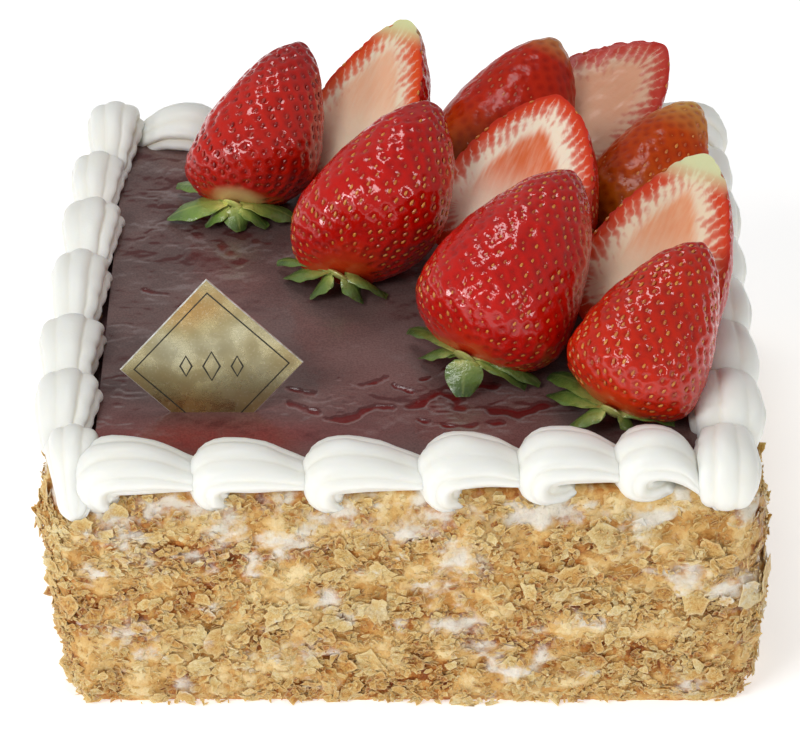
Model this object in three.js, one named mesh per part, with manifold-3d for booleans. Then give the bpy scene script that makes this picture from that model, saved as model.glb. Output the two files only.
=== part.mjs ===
// A square mille-feuille cake: a block coated in pastry flakes, a fruit glaze on top inside a piped
// cream border, whole and halved strawberries across one corner, and a small foil card.
// Millimetres, +Z up. The origin is the middle of the flat underside; the front faces -Y.
import * as THREE from "three";
import { mergeVertices } from "three/addons/utils/BufferGeometryUtils.js";
import Module from "manifold-3d";

const wasm = await Module();
wasm.setup();

// ---- driving dimensions -------------------------------------------------------------------
const CAKE_HALF = 76; // half the side of the coated block, before its crags
const CORNER_RADIUS = 10; // of the block, seen from above
const BLOCK_TOP = 52.4; // top of the coated block
const GLAZE_TOP = 54.5; // mean level of the glaze
const GLAZE_HALF = 64; // the glaze runs a little way under the cream
const CLEARANCE = 0.3; // air between neighbouring pieces

const OUTLINE_POINTS = 64; // round the block
const BLOCK_STEPS = 8; // up the block
const CRAG_DEPTH = 0.75; // relief of the flaky coat, either way
const FLAKE_COUNT = 36; // shared out over the four sides
const FLAKE_SIZE = { min: 4.0, max: 8.0 }; // half the span of a chip of pastry
const FLAKE_THICKNESS = 1.0;
const FLAKE_CORNERS = 4;
const FLAKE_SLIMNESS = 0.75; // width over length
const FLAKE_BAND = { low: 7, high: 41 }; // heights of the chips' middles
const FLAKE_END = 62; // furthest chip from the middle of its side
const FLAKE_TIP = 0.25; // radians off the coat, either way
// The coat draws in under the cream and at its foot, by one amount on the front and the back and
// by another on the left and the right.
const SHOULDER = { from: 45.5, inset: 4.9, sideInset: 2.4 };
const FOOT = { height: 7, inset: 1.2, sideInset: 2.2 };
const LEFT_LEAN = 5.6; // the left side draws in towards the bottom
const LEAN_POWER = 1.6; // and does so faster and faster
const SIDE_BULGE = 1.4; // the right side swells at mid-height
const BACK_TAPER = 2.6; // each of these two sides draws in this much towards the back

const GLAZE_RIPPLE = 0.22;
const GLAZE_CELLS = 6;

const CARD = {
  side: 27.4,
  thickness: 0.8,
  centre: [-39.7, -43.0, 64.7],
  lean: 13, // degrees back from upright
  roll: -2.5, // degrees in its own plane, beyond standing on its corner
};

const PASTRY = { color: 0xd9b071, roughness: 0.8 };
const CREAM = { color: 0xf2f0ea, roughness: 0.5 };
const GLAZE = { color: 0x3a1620, roughness: 0.12 };
const FOIL = { color: 0xbfae7c, roughness: 0.3, metalness: 0.9 };
const BERRY_RED = { color: 0xc4201a, roughness: 0.22 };
const BERRY_CUT = { color: 0xe9a58e, roughness: 0.3 };
const LEAF = { color: 0x4f7a2c, roughness: 0.45 };

// ---- helpers ------------------------------------------------------------------------------
// Repeatable random numbers from 0 to 1.
function randomFrom(seed) {
  let state = seed;
  return () => {
    state = (state + 0x6d2b79f5) | 0;
    let mixed = Math.imul(state ^ (state >>> 15), 1 | state);
    mixed = (mixed + Math.imul(mixed ^ (mixed >>> 7), 61 | mixed)) ^ mixed;
    return ((mixed ^ (mixed >>> 14)) >>> 0) / 4294967296;
  };
}

const radians = THREE.MathUtils.degToRad;
const lerp = THREE.MathUtils.lerp;

// Shared vertices only, with no normals or texture coordinates.
function welded(geometry) {
  const bare = new THREE.BufferGeometry();
  bare.setAttribute("position", geometry.getAttribute("position").clone());
  bare.setIndex(geometry.index);
  return mergeVertices(bare, 1e-4);
}

function solidOf(geometry) {
  const closed = welded(geometry);
  return new wasm.Manifold(
    new wasm.Mesh({
      numProp: 3,
      vertProperties: new Float32Array(closed.getAttribute("position").array),
      triVerts: new Uint32Array(closed.index.array),
    }),
  );
}

function geometryOf(solid) {
  const mesh = solid.getMesh();
  const geometry = new THREE.BufferGeometry();
  geometry.setAttribute("position", new THREE.BufferAttribute(mesh.vertProperties, 3));
  geometry.setIndex(new THREE.BufferAttribute(mesh.triVerts, 1));
  geometry.computeVertexNormals();
  return geometry;
}

function largestPiece(solid) {
  const pieces = solid.decompose();
  return pieces.sort((a, b) => b.volume() - a.volume())[0];
}

// Cuts each tool away only where it touches the piece.
function cutClear(solid, tools) {
  let rest = solid;
  for (const tool of tools) {
    if (rest.intersect(tool).volume() > 0) {
      rest = rest.subtract(tool);
    }
  }
  return largestPiece(rest);
}

// Moves every vertex of a geometry by a function of its place.
function reshaped(geometry, place) {
  const position = geometry.getAttribute("position");
  const point = new THREE.Vector3();
  for (let i = 0; i < position.count; i += 1) {
    point.fromBufferAttribute(position, i);
    const moved = place(point, i);
    position.setXYZ(i, moved.x, moved.y, moved.z);
  }
  return geometry;
}

function block(size, centre, matrix = new THREE.Matrix4()) {
  const geometry = new THREE.BoxGeometry(...size);
  geometry.translate(...centre);
  return solidOf(geometry.applyMatrix4(matrix));
}

const cake = new THREE.Group();

function addPiece(name, solid, finish) {
  const mesh = new THREE.Mesh(geometryOf(solid), new THREE.MeshStandardMaterial(finish));
  mesh.name = name;
  cake.add(mesh);
}

// ---- the coated block ---------------------------------------------------------------------
function roundedSquare(half, radius) {
  const flat = half - radius;
  const square = new THREE.Shape();
  square.moveTo(-flat, -half);
  square.lineTo(flat, -half);
  square.absarc(flat, -flat, radius, -Math.PI / 2, 0, false);
  square.lineTo(half, flat);
  square.absarc(flat, flat, radius, 0, Math.PI / 2, false);
  square.lineTo(-flat, half);
  square.absarc(-flat, flat, radius, Math.PI / 2, Math.PI, false);
  square.lineTo(-half, -flat);
  square.absarc(-flat, -flat, radius, Math.PI, Math.PI * 1.5, false);
  return square;
}

// Unit vector out of the block's side, level, at a point near it.
function sideNormal(point) {
  const flat = CAKE_HALF - CORNER_RADIUS;
  const core = new THREE.Vector3(
    THREE.MathUtils.clamp(point.x, -flat, flat),
    THREE.MathUtils.clamp(point.y, -flat, flat),
    point.z,
  );
  return point.clone().sub(core).normalize();
}

// How far the coat stands out from the plain square at a height, before its crags.
function coatOffset(point, normal) {
  const low = Math.max(0, 1 - point.z / FOOT.height);
  const high = Math.max(0, (point.z - SHOULDER.from) / (BLOCK_TOP - SHOULDER.from));
  const height = Math.min(1, point.z / BLOCK_TOP);
  const lean = normal.x < 0 ? normal.x * LEFT_LEAN * (1 - height) ** LEAN_POWER : 0;
  const bulge = normal.x > 0 ? normal.x * SIDE_BULGE * Math.sin(Math.PI * height) : 0;
  const aside = normal.x ** 2; // 0 at the front and the back, 1 at the left and the right
  const foot = lerp(FOOT.inset, FOOT.sideInset, aside) * low ** 2;
  const shoulder = lerp(SHOULDER.inset, SHOULDER.sideInset, aside) * high;
  const taper = BACK_TAPER * aside * (0.5 + point.y / (2 * CAKE_HALF));
  return lean + bulge - foot - shoulder - taper;
}

function blockForm() {
  const outline = roundedSquare(CAKE_HALF, CORNER_RADIUS).getSpacedPoints(OUTLINE_POINTS);
  outline.pop();
  const tall = new THREE.ExtrudeGeometry(new THREE.Shape(outline), {
    depth: BLOCK_TOP,
    steps: BLOCK_STEPS,
    bevelEnabled: false,
  });
  const random = randomFrom(11);
  return reshaped(welded(tall), (point) => {
    const normal = sideNormal(point);
    const draw = random();
    const rough = point.z > 1 && point.z < SHOULDER.from;
    const crag = rough ? (2 * draw - 1) * CRAG_DEPTH : 0;
    return point.clone().addScaledVector(normal, coatOffset(point, normal) + crag);
  });
}

// What the cream and the berries keep clear of: the shoulder and top of the block, grown a little.
function shoulderRoom() {
  const height = BLOCK_TOP - SHOULDER.from;
  const ring = new THREE.ExtrudeGeometry(roundedSquare(CAKE_HALF, CORNER_RADIUS), {
    depth: height,
    steps: 1,
    curveSegments: 4,
    bevelEnabled: false,
  });
  ring.translate(0, 0, SHOULDER.from);
  return reshaped(welded(ring), (point) => {
    const normal = sideNormal(point);
    const moved = point.clone().addScaledVector(normal, coatOffset(point, normal) + CLEARANCE);
    moved.z += CLEARANCE;
    return moved;
  });
}

// One chip of pastry, an irregular four-sided plate lying flat about the origin.
function flakeShape(random, size) {
  const corners = [];
  for (let i = 0; i < FLAKE_CORNERS; i += 1) {
    const angle = ((i + 0.5 * random()) / FLAKE_CORNERS) * 2 * Math.PI;
    const reach = size * lerp(0.6, 1, random());
    const corner = new THREE.Vector2(reach * Math.cos(angle), reach * Math.sin(angle));
    corner.y *= FLAKE_SLIMNESS;
    corners.push(corner);
  }
  const chip = new THREE.ExtrudeGeometry(new THREE.Shape(corners), {
    depth: FLAKE_THICKNESS,
    bevelEnabled: false,
  });
  chip.translate(0, 0, -FLAKE_THICKNESS / 2);
  return chip;
}

// The largest chips, spread over the four sides: each lies nearly flat on the coat, tipped a little.
// The golden ratio keeps neighbours along a side at different heights.
function flakes() {
  const random = randomFrom(29);
  const perSide = FLAKE_COUNT / 4;
  const golden = (Math.sqrt(5) - 1) / 2;
  const chips = [];
  for (let i = 0; i < FLAKE_COUNT; i += 1) {
    const side = Math.floor(i / perSide);
    const slot = i % perSide;
    const along = lerp(-FLAKE_END, FLAKE_END, (slot + random()) / perSide);
    const height = lerp(FLAKE_BAND.low, FLAKE_BAND.high, (slot * golden + 0.3 * random()) % 1);
    const chip = flakeShape(random, lerp(FLAKE_SIZE.min, FLAKE_SIZE.max, random()));
    const spin = new THREE.Matrix4().makeRotationZ(random() * Math.PI);
    const tilt = lerp(-FLAKE_TIP, FLAKE_TIP, random());
    const tipUp = new THREE.Matrix4().makeRotationX(Math.PI / 2 + tilt);
    const tipAside = new THREE.Matrix4().makeRotationZ(lerp(-FLAKE_TIP, FLAKE_TIP, random()));
    const turn = new THREE.Matrix4().makeRotationZ((side * Math.PI) / 2);
    const surface = new THREE.Vector3(along, -CAKE_HALF, height).applyMatrix4(turn);
    const offset = coatOffset(surface, sideNormal(surface));
    const place = new THREE.Matrix4().makeTranslation(along, -CAKE_HALF - offset, height);
    for (const step of [spin, tipUp, tipAside, place, turn]) {
      chip.applyMatrix4(step);
    }
    chips.push(solidOf(chip));
  }
  return chips;
}

// ---- the card -----------------------------------------------------------------------------
function cardSolid(grow) {
  const side = CARD.side + 2 * grow;
  const plate = new THREE.BoxGeometry(side, CARD.thickness + 2 * grow, side);
  plate.rotateY(radians(45 + CARD.roll));
  plate.rotateX(radians(-CARD.lean));
  plate.translate(...CARD.centre);
  return solidOf(plate);
}

// ---- the glaze ----------------------------------------------------------------------------
function glazeSolid() {
  const bottom = BLOCK_TOP + CLEARANCE;
  const slab = new THREE.BoxGeometry(2, 2, 1, GLAZE_CELLS, GLAZE_CELLS, 1);
  const random = randomFrom(47);
  const soft = reshaped(welded(slab), (point) => {
    const ripple = point.z > 0 ? (2 * random() - 1) * GLAZE_RIPPLE : 0;
    const x = point.x * GLAZE_HALF;
    const y = point.y * GLAZE_HALF;
    return new THREE.Vector3(x, y, point.z > 0 ? GLAZE_TOP + ripple : bottom);
  });
  return solidOf(soft);
}

// ---- strawberries -------------------------------------------------------------------------
// base: middle of the leafy end. heading and rise: where the tip points, in degrees. roll: about the
// berry's own axis. skew: how much further along the axis one shoulder sits than the other.
const BERRIES = {
  berry_whole_1: { base: [-37.2, 30.7, 60.2], heading: 62, rise: 38, roll: 11, length: 40.3, radius: 14.4,
    shoulder: 0.24, skew: 0.3 },
  berry_whole_2: { base: [-13.1, -0.3, 61.2], heading: 48, rise: 43, roll: 21, length: 42.3, radius: 16.0,
    shoulder: 0.32, skew: 0.61 },
  berry_whole_3: { base: [14.2, -35.4, 62.8], heading: 55, rise: 32, roll: 10, length: 47.3, radius: 17.6,
    shoulder: 0.24, skew: 0 },
  berry_whole_4: { base: [44.7, -53.6, 61.3], heading: 54, rise: 36, roll: -8, length: 40.5, radius: 15.0,
    shoulder: 0.22, skew: 0 },
  berry_half_4: { base: [47.1, -28.7, 62.6], heading: 58, rise: 37, roll: 2, length: 45.0, radius: 18.2,
    shoulder: 0.23, skew: 0, half: true },
  berry_half_2: { base: [18.1, -1.6, 64.0], heading: 62, rise: 34, roll: 9, length: 43.1, radius: 20.6,
    shoulder: 0.3, skew: 0, half: true },
  berry_half_1: { base: [-16.8, 34.5, 61.1], heading: 59, rise: 37, roll: 17, length: 44.1, radius: 17.1,
    shoulder: 0.31, skew: 0, half: true },
  berry_back_2: { base: [46.8, 12.4, 54.6], heading: 57, rise: 34, roll: 195, length: 43.2, radius: 15.3,
    shoulder: 0.3, skew: 0, half: true },
  berry_back_1: { base: [15.2, 34.7, 53.9], heading: 54, rise: 41, roll: 172, length: 45.6, radius: 16.6,
    shoulder: 0.29, skew: 0, half: true },
  berry_half_3: { base: [28.1, 40.6, 63.6], heading: 37, rise: 23, roll: -18, length: 44.0, radius: 16.3,
    shoulder: 0.31, skew: 0, half: true },
};
const BERRY_FACETS = 12;
const BERRY_RINGS = 7;
const SHOULDER_ROUNDNESS = 2.15;
const TIP_TAPER = 1.55;
const TIP_BLUNTNESS = 0.62;
const WHOLE_DEPTH = 0.95; // thickness of a whole berry over its width
const HALF_DEPTH = 0.92;

// Radius, as a share of the largest, at a share of the way from the leafy end to the tip.
function berryProfile(share, shoulder) {
  if (share < shoulder) {
    const back = (shoulder - share) / shoulder;
    return (1 - back ** SHOULDER_ROUNDNESS) ** (1 / SHOULDER_ROUNDNESS);
  }
  const forward = (share - shoulder) / (1 - shoulder);
  return (1 - Math.min(1, forward) ** TIP_TAPER) ** TIP_BLUNTNESS;
}

// The berry's own axes in the cake: its width, its length and the way its cut or upper face looks.
function berryFrame(berry) {
  const heading = radians(berry.heading);
  const rise = radians(berry.rise);
  const roll = radians(berry.roll);
  const axis = new THREE.Vector3(
    Math.cos(heading) * Math.cos(rise),
    Math.sin(heading) * Math.cos(rise),
    Math.sin(rise),
  );
  const level = new THREE.Vector3(Math.sin(heading), -Math.cos(heading), 0);
  const above = new THREE.Vector3().crossVectors(level, axis);
  const width = level.clone().multiplyScalar(Math.cos(roll)).addScaledVector(above, Math.sin(roll));
  const face = new THREE.Vector3().crossVectors(width, axis);
  return new THREE.Matrix4().makeBasis(width, axis, face).setPosition(...berry.base);
}

function berrySolid(berry, grow) {
  const profile = [];
  for (let ring = 0; ring <= BERRY_RINGS; ring += 1) {
    const share = (1 - Math.cos((Math.PI * ring) / BERRY_RINGS)) / 2;
    const radius = berryProfile(share, berry.shoulder) * (berry.radius + grow);
    const inside = ring > 0 && ring < BERRY_RINGS;
    profile.push(new THREE.Vector2(inside ? radius : 0, share * (berry.length + 2 * grow) - grow));
  }
  const round = new THREE.LatheGeometry(profile, BERRY_FACETS);
  const depth = berry.half ? HALF_DEPTH : WHOLE_DEPTH;
  reshaped(round, (point) => {
    const slide = berry.skew * point.x * (1 - point.y / berry.length);
    return new THREE.Vector3(point.x, point.y + slide, point.z * depth);
  });
  const frame = berryFrame(berry);
  const whole = solidOf(round.applyMatrix4(frame));
  if (!berry.half) {
    return whole;
  }
  const reach = 3 * berry.length;
  const cutAway = block([reach, reach, reach], [0, 0, reach / 2 + grow], frame);
  return whole.subtract(cutAway);
}

// ---- leaves under each whole berry --------------------------------------------------------
// Each leaf: the heading of its tip from the middle of the berry's base, in degrees, how far out the
// tip is, how far below the base it comes, and how wide the leaf is.
const LEAVES = {
  leaves_1: [[135, 19, 3.2, 4.0], [176, 15, 4.3, 7.5], [-160, 6.8, 4.4, 5.5], [-71, 4.6, 4.5, 6.5],
    [-20, 8, 4.5, 5.5], [4, 13.3, 4.4, 7.0]],
  leaves_2: [[140, 18, 4.2, 3.5], [148, 13.7, 5.3, 6.5], [-172, 6.3, 5.4, 6.5], [-30, 6.2, 5.4, 5.0],
    [-5, 10.6, 5.4, 4.5]],
  leaves_3: [[124, 21.5, 5.0, 4.5], [134, 13.4, 6.8, 4.5], [116, 11.2, 5.0, 6.0], [-95, 5.2, 6.8, 8.3],
    [-8, 13, 6.9, 5.0], [-2, 16, 6.9, 4.0]],
  leaves_4: [[121, 24, 4.8, 6.0], [132, 18.6, 5.2, 6.5], [176, 9.5, 5.1, 6.0], [-5, 5.5, 5.3, 5.5],
    [10, 13.5, 5.0, 5.5]],
};
const LEAF_THICKNESS = 0.9;
const LEAF_CELLS = 2;
const LEAF_BEND = { at: 0.6, rise: 0.12, sag: 0.35 }; // middle of the spine: shares of reach and drop
const LEAF_STALK = 0.16; // least width, as a share of the widest
const LEAF_WAVE = 0.5;
const LEAF_FOLD = 0.8; // how far the edges droop below the spine
const CALYX_RADIUS = 2.6;
const CALYX_THICKNESS = 1.4;
const CALYX_GAP = 0.4; // air between the disc and the berry

function leafSolid(root, [heading, reach, drop, width], index) {
  const out = new THREE.Vector3(Math.cos(radians(heading)), Math.sin(radians(heading)), 0);
  const across = new THREE.Vector3(-out.y, out.x, 0);
  const tip = root.clone().addScaledVector(out, reach);
  tip.z -= drop;
  const bend = root.clone().addScaledVector(out, LEAF_BEND.at * reach);
  bend.z += LEAF_BEND.rise * reach - LEAF_BEND.sag * drop;
  const start = root.clone().addScaledVector(out, 0.5 * CALYX_RADIUS);
  const spine = new THREE.QuadraticBezierCurve3(start, bend, tip);
  const plate = new THREE.BoxGeometry(1, 2, 1, LEAF_CELLS, 2, 1);
  reshaped(plate, (point) => {
    const share = point.x + 0.5;
    const centre = spine.getPoint(share);
    const along = spine.getTangent(share);
    const up = new THREE.Vector3().crossVectors(along, across).normalize();
    const swell = Math.sin(Math.PI * lerp(0.12, 0.93, share)) ** 0.7;
    const half = (width / 2) * Math.max(LEAF_STALK, swell);
    const wave = LEAF_WAVE * Math.sin(5 * share + 2 * index) * point.y;
    const fold = -LEAF_FOLD * Math.abs(point.y) * Math.sin(Math.PI * share);
    centre.addScaledVector(across, point.y * half);
    return centre.addScaledVector(up, point.z * LEAF_THICKNESS + wave + fold);
  });
  return solidOf(plate);
}

function calyxSolid(berry, leaves) {
  const frame = berryFrame(berry);
  const root = new THREE.Vector3(0, -LEAF_THICKNESS, 0).applyMatrix4(frame);
  const disc = new THREE.CylinderGeometry(CALYX_RADIUS, CALYX_RADIUS, CALYX_THICKNESS, 6);
  disc.translate(0, -CALYX_GAP - CALYX_THICKNESS / 2, 0);
  let calyx = solidOf(disc.applyMatrix4(frame));
  leaves.forEach((leaf, index) => {
    calyx = calyx.add(leafSolid(root, leaf, index));
  });
  return calyx;
}

// ---- the piped border ---------------------------------------------------------------------
// Each dollop is a star-section stroke of cream. It starts low, turns up and over about a level
// hinge line that runs across the row, and draws out into a tail that the next dollop covers.
// turn: degrees round the hinge. run: past it. reach: out from it. width: half, across the row.
const STROKE = [
  { turn: 300, run: 1, reach: 5.8, width: 3.0 },
  { turn: 236, run: 0, reach: 6.6, width: 4.8 },
  { turn: 180, run: 0, reach: 9.6, width: 6.8 },
  { turn: 118, run: 0, reach: 10.7, width: 7.4 },
  { turn: 90, run: 7, reach: 9.2, width: 6.3 },
  { turn: 90, run: 16, reach: 5.2, width: 4.8 },
];
const STROKE_START_TURN = 325;
const STROKE_END_RUN = 22;
const RIDGES = 7;
const RIDGE_DEPTH = 0.08; // share of the section, either way
const HINGE_GAP = 0.5; // the stroke's inner side clears the hinge line
const LEAST_RADIAL = 0.06; // and never comes nearer to it than this
const BORDER_LINE = 68.4; // from the middle of the cake to the middle of each row
const HINGE_LEVEL = 51.6;
const TAIL_PITCH = 24; // spacing that the stroke's tail is drawn for
const SHORTEST_PITCH = 13;

// Four rows, piped one after the other anticlockwise. stops: where each head sits along the row's
// travel, from the middle of the side. sizes scale the heads one by one, widths scale them again
// across the row, lifts raise them and shifts move them outward. The last tail of a row falls over
// the cake's edge and swings outward.
const ROWS = [
  {
    name: "left",
    travel: -90,
    stops: [-66.5, -46.8, -26, -3, 22.2, 44.2, 64],
    sizes: [1.04, 0.95, 0.97, 1, 0.98, 1, 0.95],
    widths: [0.8, 0.85, 0.92, 0.86, 0.95, 0.92, 0.8],
    lifts: [0.6, 0, 0, 0.2, 0, 0, 0],
    shifts: [-1.9, 1.0, 1.1, 2.3, 2.6, 2.3, -0.3],
    fall: 6,
    swing: -1,
  },
  {
    name: "front",
    travel: 0,
    stops: [-57.5, -34.5, -10.7, 13.4, 33.6, 53.4],
    sizes: [1.02, 0.97, 1, 1.02, 1.03, 0.99],
    widths: [1, 1, 1, 1, 1, 1],
    lifts: [0, 0, 0.2, 0.9, 2.2, 3.2],
    shifts: [0, 0, 0, 0, 0, 0],
    fall: 10,
    swing: 1.5,
  },
  {
    name: "right",
    travel: 90,
    stops: [-66.4, -48, -27.7, -7.2, 12.1, 31.5, 51],
    sizes: [1, 1.04, 1.02, 0.98, 0.96, 0.97, 0.95],
    widths: [0.92, 1, 1, 1, 1, 1, 1],
    lifts: [1, 1.8, 0.8, 0.5, 0.3, 0.3, 0],
    shifts: [-0.6, 0.5, 0.8, 0.9, 0.9, 0.8, 0.4],
    fall: 6,
    swing: 1.5,
  },
  {
    name: "back",
    travel: 180,
    stops: [-66, -43, -20, 3.5, 27.5, 50.5],
    sizes: [1, 0.97, 1, 0.98, 1, 1],
    widths: [1, 0.96, 1, 1, 0.97, 1],
    lifts: [0.3, 0, 0, 0.2, 0.2, 0.4],
    shifts: [0, 0, 0.4, 0, 0, 0],
    fall: 6,
    swing: 1.5,
  },
];

function dollops() {
  const list = [];
  for (const row of ROWS) {
    row.stops.forEach((stop, index) => {
      const last = index === row.stops.length - 1;
      const next = last ? BORDER_LINE : row.stops[index + 1];
      list.push({
        name: `cream_${row.name}_${index + 1}`,
        travel: row.travel,
        stop,
        size: row.sizes[index],
        breadth: row.widths[index] * row.sizes[index],
        lift: row.lifts[index],
        line: BORDER_LINE + row.shifts[index],
        pitch: Math.max(SHORTEST_PITCH, next - stop),
        fall: last ? row.fall : 0,
        swing: last ? row.swing : 0,
      });
    });
  }
  return list;
}

// A ring of the stroke, or a point at either end, by its number from 0 to STROKE.length + 1.
function strokeStation(ring) {
  if (ring === 0) {
    return { ...STROKE[0], turn: STROKE_START_TURN };
  }
  if (ring > STROKE.length) {
    return { ...STROKE[STROKE.length - 1], run: STROKE_END_RUN };
  }
  return STROKE[ring - 1];
}

// The dollop itself, or with grow above zero the smooth room that its neighbours leave for it.
function dollopSolid(dollop, grow) {
  const rings = STROKE.length + 1;
  const round = new THREE.SphereGeometry(1, 2 * RIDGES, rings);
  const uv = round.getAttribute("uv");
  const travel = radians(dollop.travel);
  const along = new THREE.Vector3(Math.cos(travel), Math.sin(travel), 0);
  const outward = new THREE.Vector3(along.y, -along.x, 0);
  const hinge = along.clone().multiplyScalar(dollop.stop).addScaledVector(outward, dollop.line);
  hinge.z = HINGE_LEVEL + dollop.lift;
  reshaped(round, (point, i) => {
    const ring = Math.round((1 - uv.getY(i)) * rings);
    const station = strokeStation(ring);
    const closed = ring === 0 || ring === rings ? 0 : 1;
    const angle = -2 * Math.PI * uv.getX(i);
    const ridge = grow > 0 ? 1 : Math.cos(RIDGES * angle);
    const star = closed * (1 + RIDGE_DEPTH * ridge);
    const half = (station.reach * dollop.size - HINGE_GAP) / 2 + grow;
    const inner = HINGE_GAP - grow;
    const radial = Math.max(LEAST_RADIAL, inner + half + half * star * Math.cos(angle));
    const aside = (station.width * dollop.breadth + grow) * star * Math.sin(angle);
    const run = (station.run * dollop.pitch) / TAIL_PITCH;
    const turn = radians(station.turn);
    const end = (station.run / STROKE_END_RUN) ** 2;
    return hinge
      .clone()
      .addScaledVector(along, run + radial * Math.cos(turn))
      .addScaledVector(outward, aside + end * dollop.swing)
      .add(new THREE.Vector3(0, 0, radial * Math.sin(turn) - end * dollop.fall));
  });
  return solidOf(round);
}

// ---- assembly -----------------------------------------------------------------------------
const cardPocket = cardSolid(CLEARANCE);
const glazeFloor = block(
  [2 * (GLAZE_HALF + CLEARANCE), 2 * (GLAZE_HALF + CLEARANCE), 20],
  [0, 0, GLAZE_TOP + GLAZE_RIPPLE + CLEARANCE - 10],
);
const coreRoom = solidOf(shoulderRoom());

let coated = solidOf(blockForm());
for (const chip of flakes()) {
  coated = coated.add(chip);
}
addPiece("body", largestPiece(coated.subtract(cardPocket)), PASTRY);
addPiece("glaze", glazeSolid().subtract(cardPocket), GLAZE);
addPiece("card", cardSolid(0), FOIL);

const berryRooms = [];
for (const [name, berry] of Object.entries(BERRIES)) {
  const cut = cutClear(berrySolid(berry, 0), [glazeFloor, coreRoom, ...berryRooms]);
  addPiece(name, cut, berry.half ? BERRY_CUT : BERRY_RED);
  berryRooms.push(berrySolid(berry, CLEARANCE));
}

const border = dollops();
const dollopRooms = border.map((dollop) => dollopSolid(dollop, CLEARANCE));
border.forEach((dollop, index) => {
  const following = dollopRooms[(index + 1) % border.length];
  const afterThat = dollopRooms[(index + 2) % border.length];
  const tools = [glazeFloor, coreRoom, following, afterThat, ...berryRooms];
  addPiece(dollop.name, cutClear(dollopSolid(dollop, 0), tools), CREAM);
});

Object.entries(LEAVES).forEach(([name, leaves], index) => {
  const berry = BERRIES[`berry_whole_${index + 1}`];
  const tools = [glazeFloor, ...berryRooms, ...dollopRooms];
  addPiece(name, cutClear(calyxSolid(berry, leaves), tools), LEAF);
});

export default cake;
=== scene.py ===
"""The looks of a square mille-feuille cake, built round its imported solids.

Shapes are worked out in millimetres and become metres in add_piece. +Z is up, the front faces -Y.
"""

import bmesh
import bpy
import math
import numpy as np
from itertools import product
from mathutils import Matrix, Vector
from mathutils.kdtree import KDTree


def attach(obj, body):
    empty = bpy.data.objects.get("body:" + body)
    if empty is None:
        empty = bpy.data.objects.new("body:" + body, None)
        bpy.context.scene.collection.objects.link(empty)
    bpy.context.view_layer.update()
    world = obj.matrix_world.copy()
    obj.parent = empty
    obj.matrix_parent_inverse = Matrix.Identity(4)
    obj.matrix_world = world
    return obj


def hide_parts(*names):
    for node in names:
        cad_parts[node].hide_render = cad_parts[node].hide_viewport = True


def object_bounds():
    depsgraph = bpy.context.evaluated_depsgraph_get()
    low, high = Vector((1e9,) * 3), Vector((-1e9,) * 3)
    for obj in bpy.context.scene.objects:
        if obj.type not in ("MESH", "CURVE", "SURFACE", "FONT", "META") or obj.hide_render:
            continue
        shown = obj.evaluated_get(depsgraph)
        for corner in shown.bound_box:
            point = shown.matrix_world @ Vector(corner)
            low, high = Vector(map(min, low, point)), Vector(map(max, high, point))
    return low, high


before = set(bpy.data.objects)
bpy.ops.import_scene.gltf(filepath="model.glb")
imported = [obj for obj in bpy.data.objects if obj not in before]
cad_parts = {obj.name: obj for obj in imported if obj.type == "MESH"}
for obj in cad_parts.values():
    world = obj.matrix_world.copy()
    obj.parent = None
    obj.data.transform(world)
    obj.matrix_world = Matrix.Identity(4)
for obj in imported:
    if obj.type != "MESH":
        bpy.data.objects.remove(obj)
cad_low, cad_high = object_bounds()

MM = 0.001
BOX_LOW = np.array(cad_low) / MM
BOX_HIGH = np.array(cad_high) / MM
BOX_MARGIN = 0.05  # how far the shapes stay inside the solids' own box
WELD = 0.001  # points closer than this are joined

# ---- driving dimensions, the same as the solids' ------------------------------------------
CAKE_HALF = 76.0
CORNER_RADIUS = 10.0
BLOCK_TOP = 52.4
GLAZE_TOP = 54.5
GLAZE_HALF = 64.0
SHOULDER = {"from": 45.5, "inset": 4.9, "side_inset": 2.4}
FOOT = {"height": 7.0, "inset": 1.2, "side_inset": 2.2}
LEFT_LEAN = 5.6
LEAN_POWER = 1.6
SIDE_BULGE = 1.4
BACK_TAPER = 2.6

CARD = {"side": 27.4, "thickness": 0.8, "centre": (-39.7, -43.0, 64.7), "lean": 13.0, "roll": -2.5}


# ---- numbers ------------------------------------------------------------------------------
def lattice(cells, seed):
    """A repeatable random number from -1 to 1 for each whole-number cell."""
    x, y, z = (cells[..., i].astype(np.uint32) for i in range(3))
    mixed = x * np.uint32(374761393) + y * np.uint32(668265263) + z * np.uint32(2246822519)
    mixed = mixed + np.uint32(seed * 40503 + 12345)
    mixed = (mixed ^ (mixed >> np.uint32(13))) * np.uint32(1274126177)
    mixed = (mixed ^ (mixed >> np.uint32(15))) * np.uint32(2654435761)
    mixed = mixed ^ (mixed >> np.uint32(16))
    return mixed.astype(float) / 2147483647.5 - 1.0


def noise(points, size, seed=0):
    """Smooth noise from about -1 to 1, whose lumps are size millimetres apart."""
    scaled = np.asarray(points, float) / size
    base = np.floor(scaled)
    part = scaled - base
    part = part * part * (3 - 2 * part)
    cells = base.astype(np.int64)
    total = np.zeros(scaled.shape[:-1])
    for corner in product((0, 1), repeat=3):
        weight = np.prod(np.where(np.array(corner) == 1, part, 1 - part), axis=-1)
        total += weight * lattice(cells + np.array(corner), seed)
    return total


def layered(points, size, octaves, seed=0):
    """Noise with ever finer lumps added, each half as strong as the last."""
    return sum(noise(points, size / 2**k, seed + 7 * k) / 2**k for k in range(octaves))


def smooth_step(low, high, value):
    """0 up to low and 1 from high on, with a smooth rise between."""
    share = np.clip((value - low) / (high - low), 0, 1)
    return share * share * (3 - 2 * share)


def inside_box(points):
    """Points held just inside the solids' own box."""
    return np.clip(points, BOX_LOW + BOX_MARGIN, BOX_HIGH - BOX_MARGIN)


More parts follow.
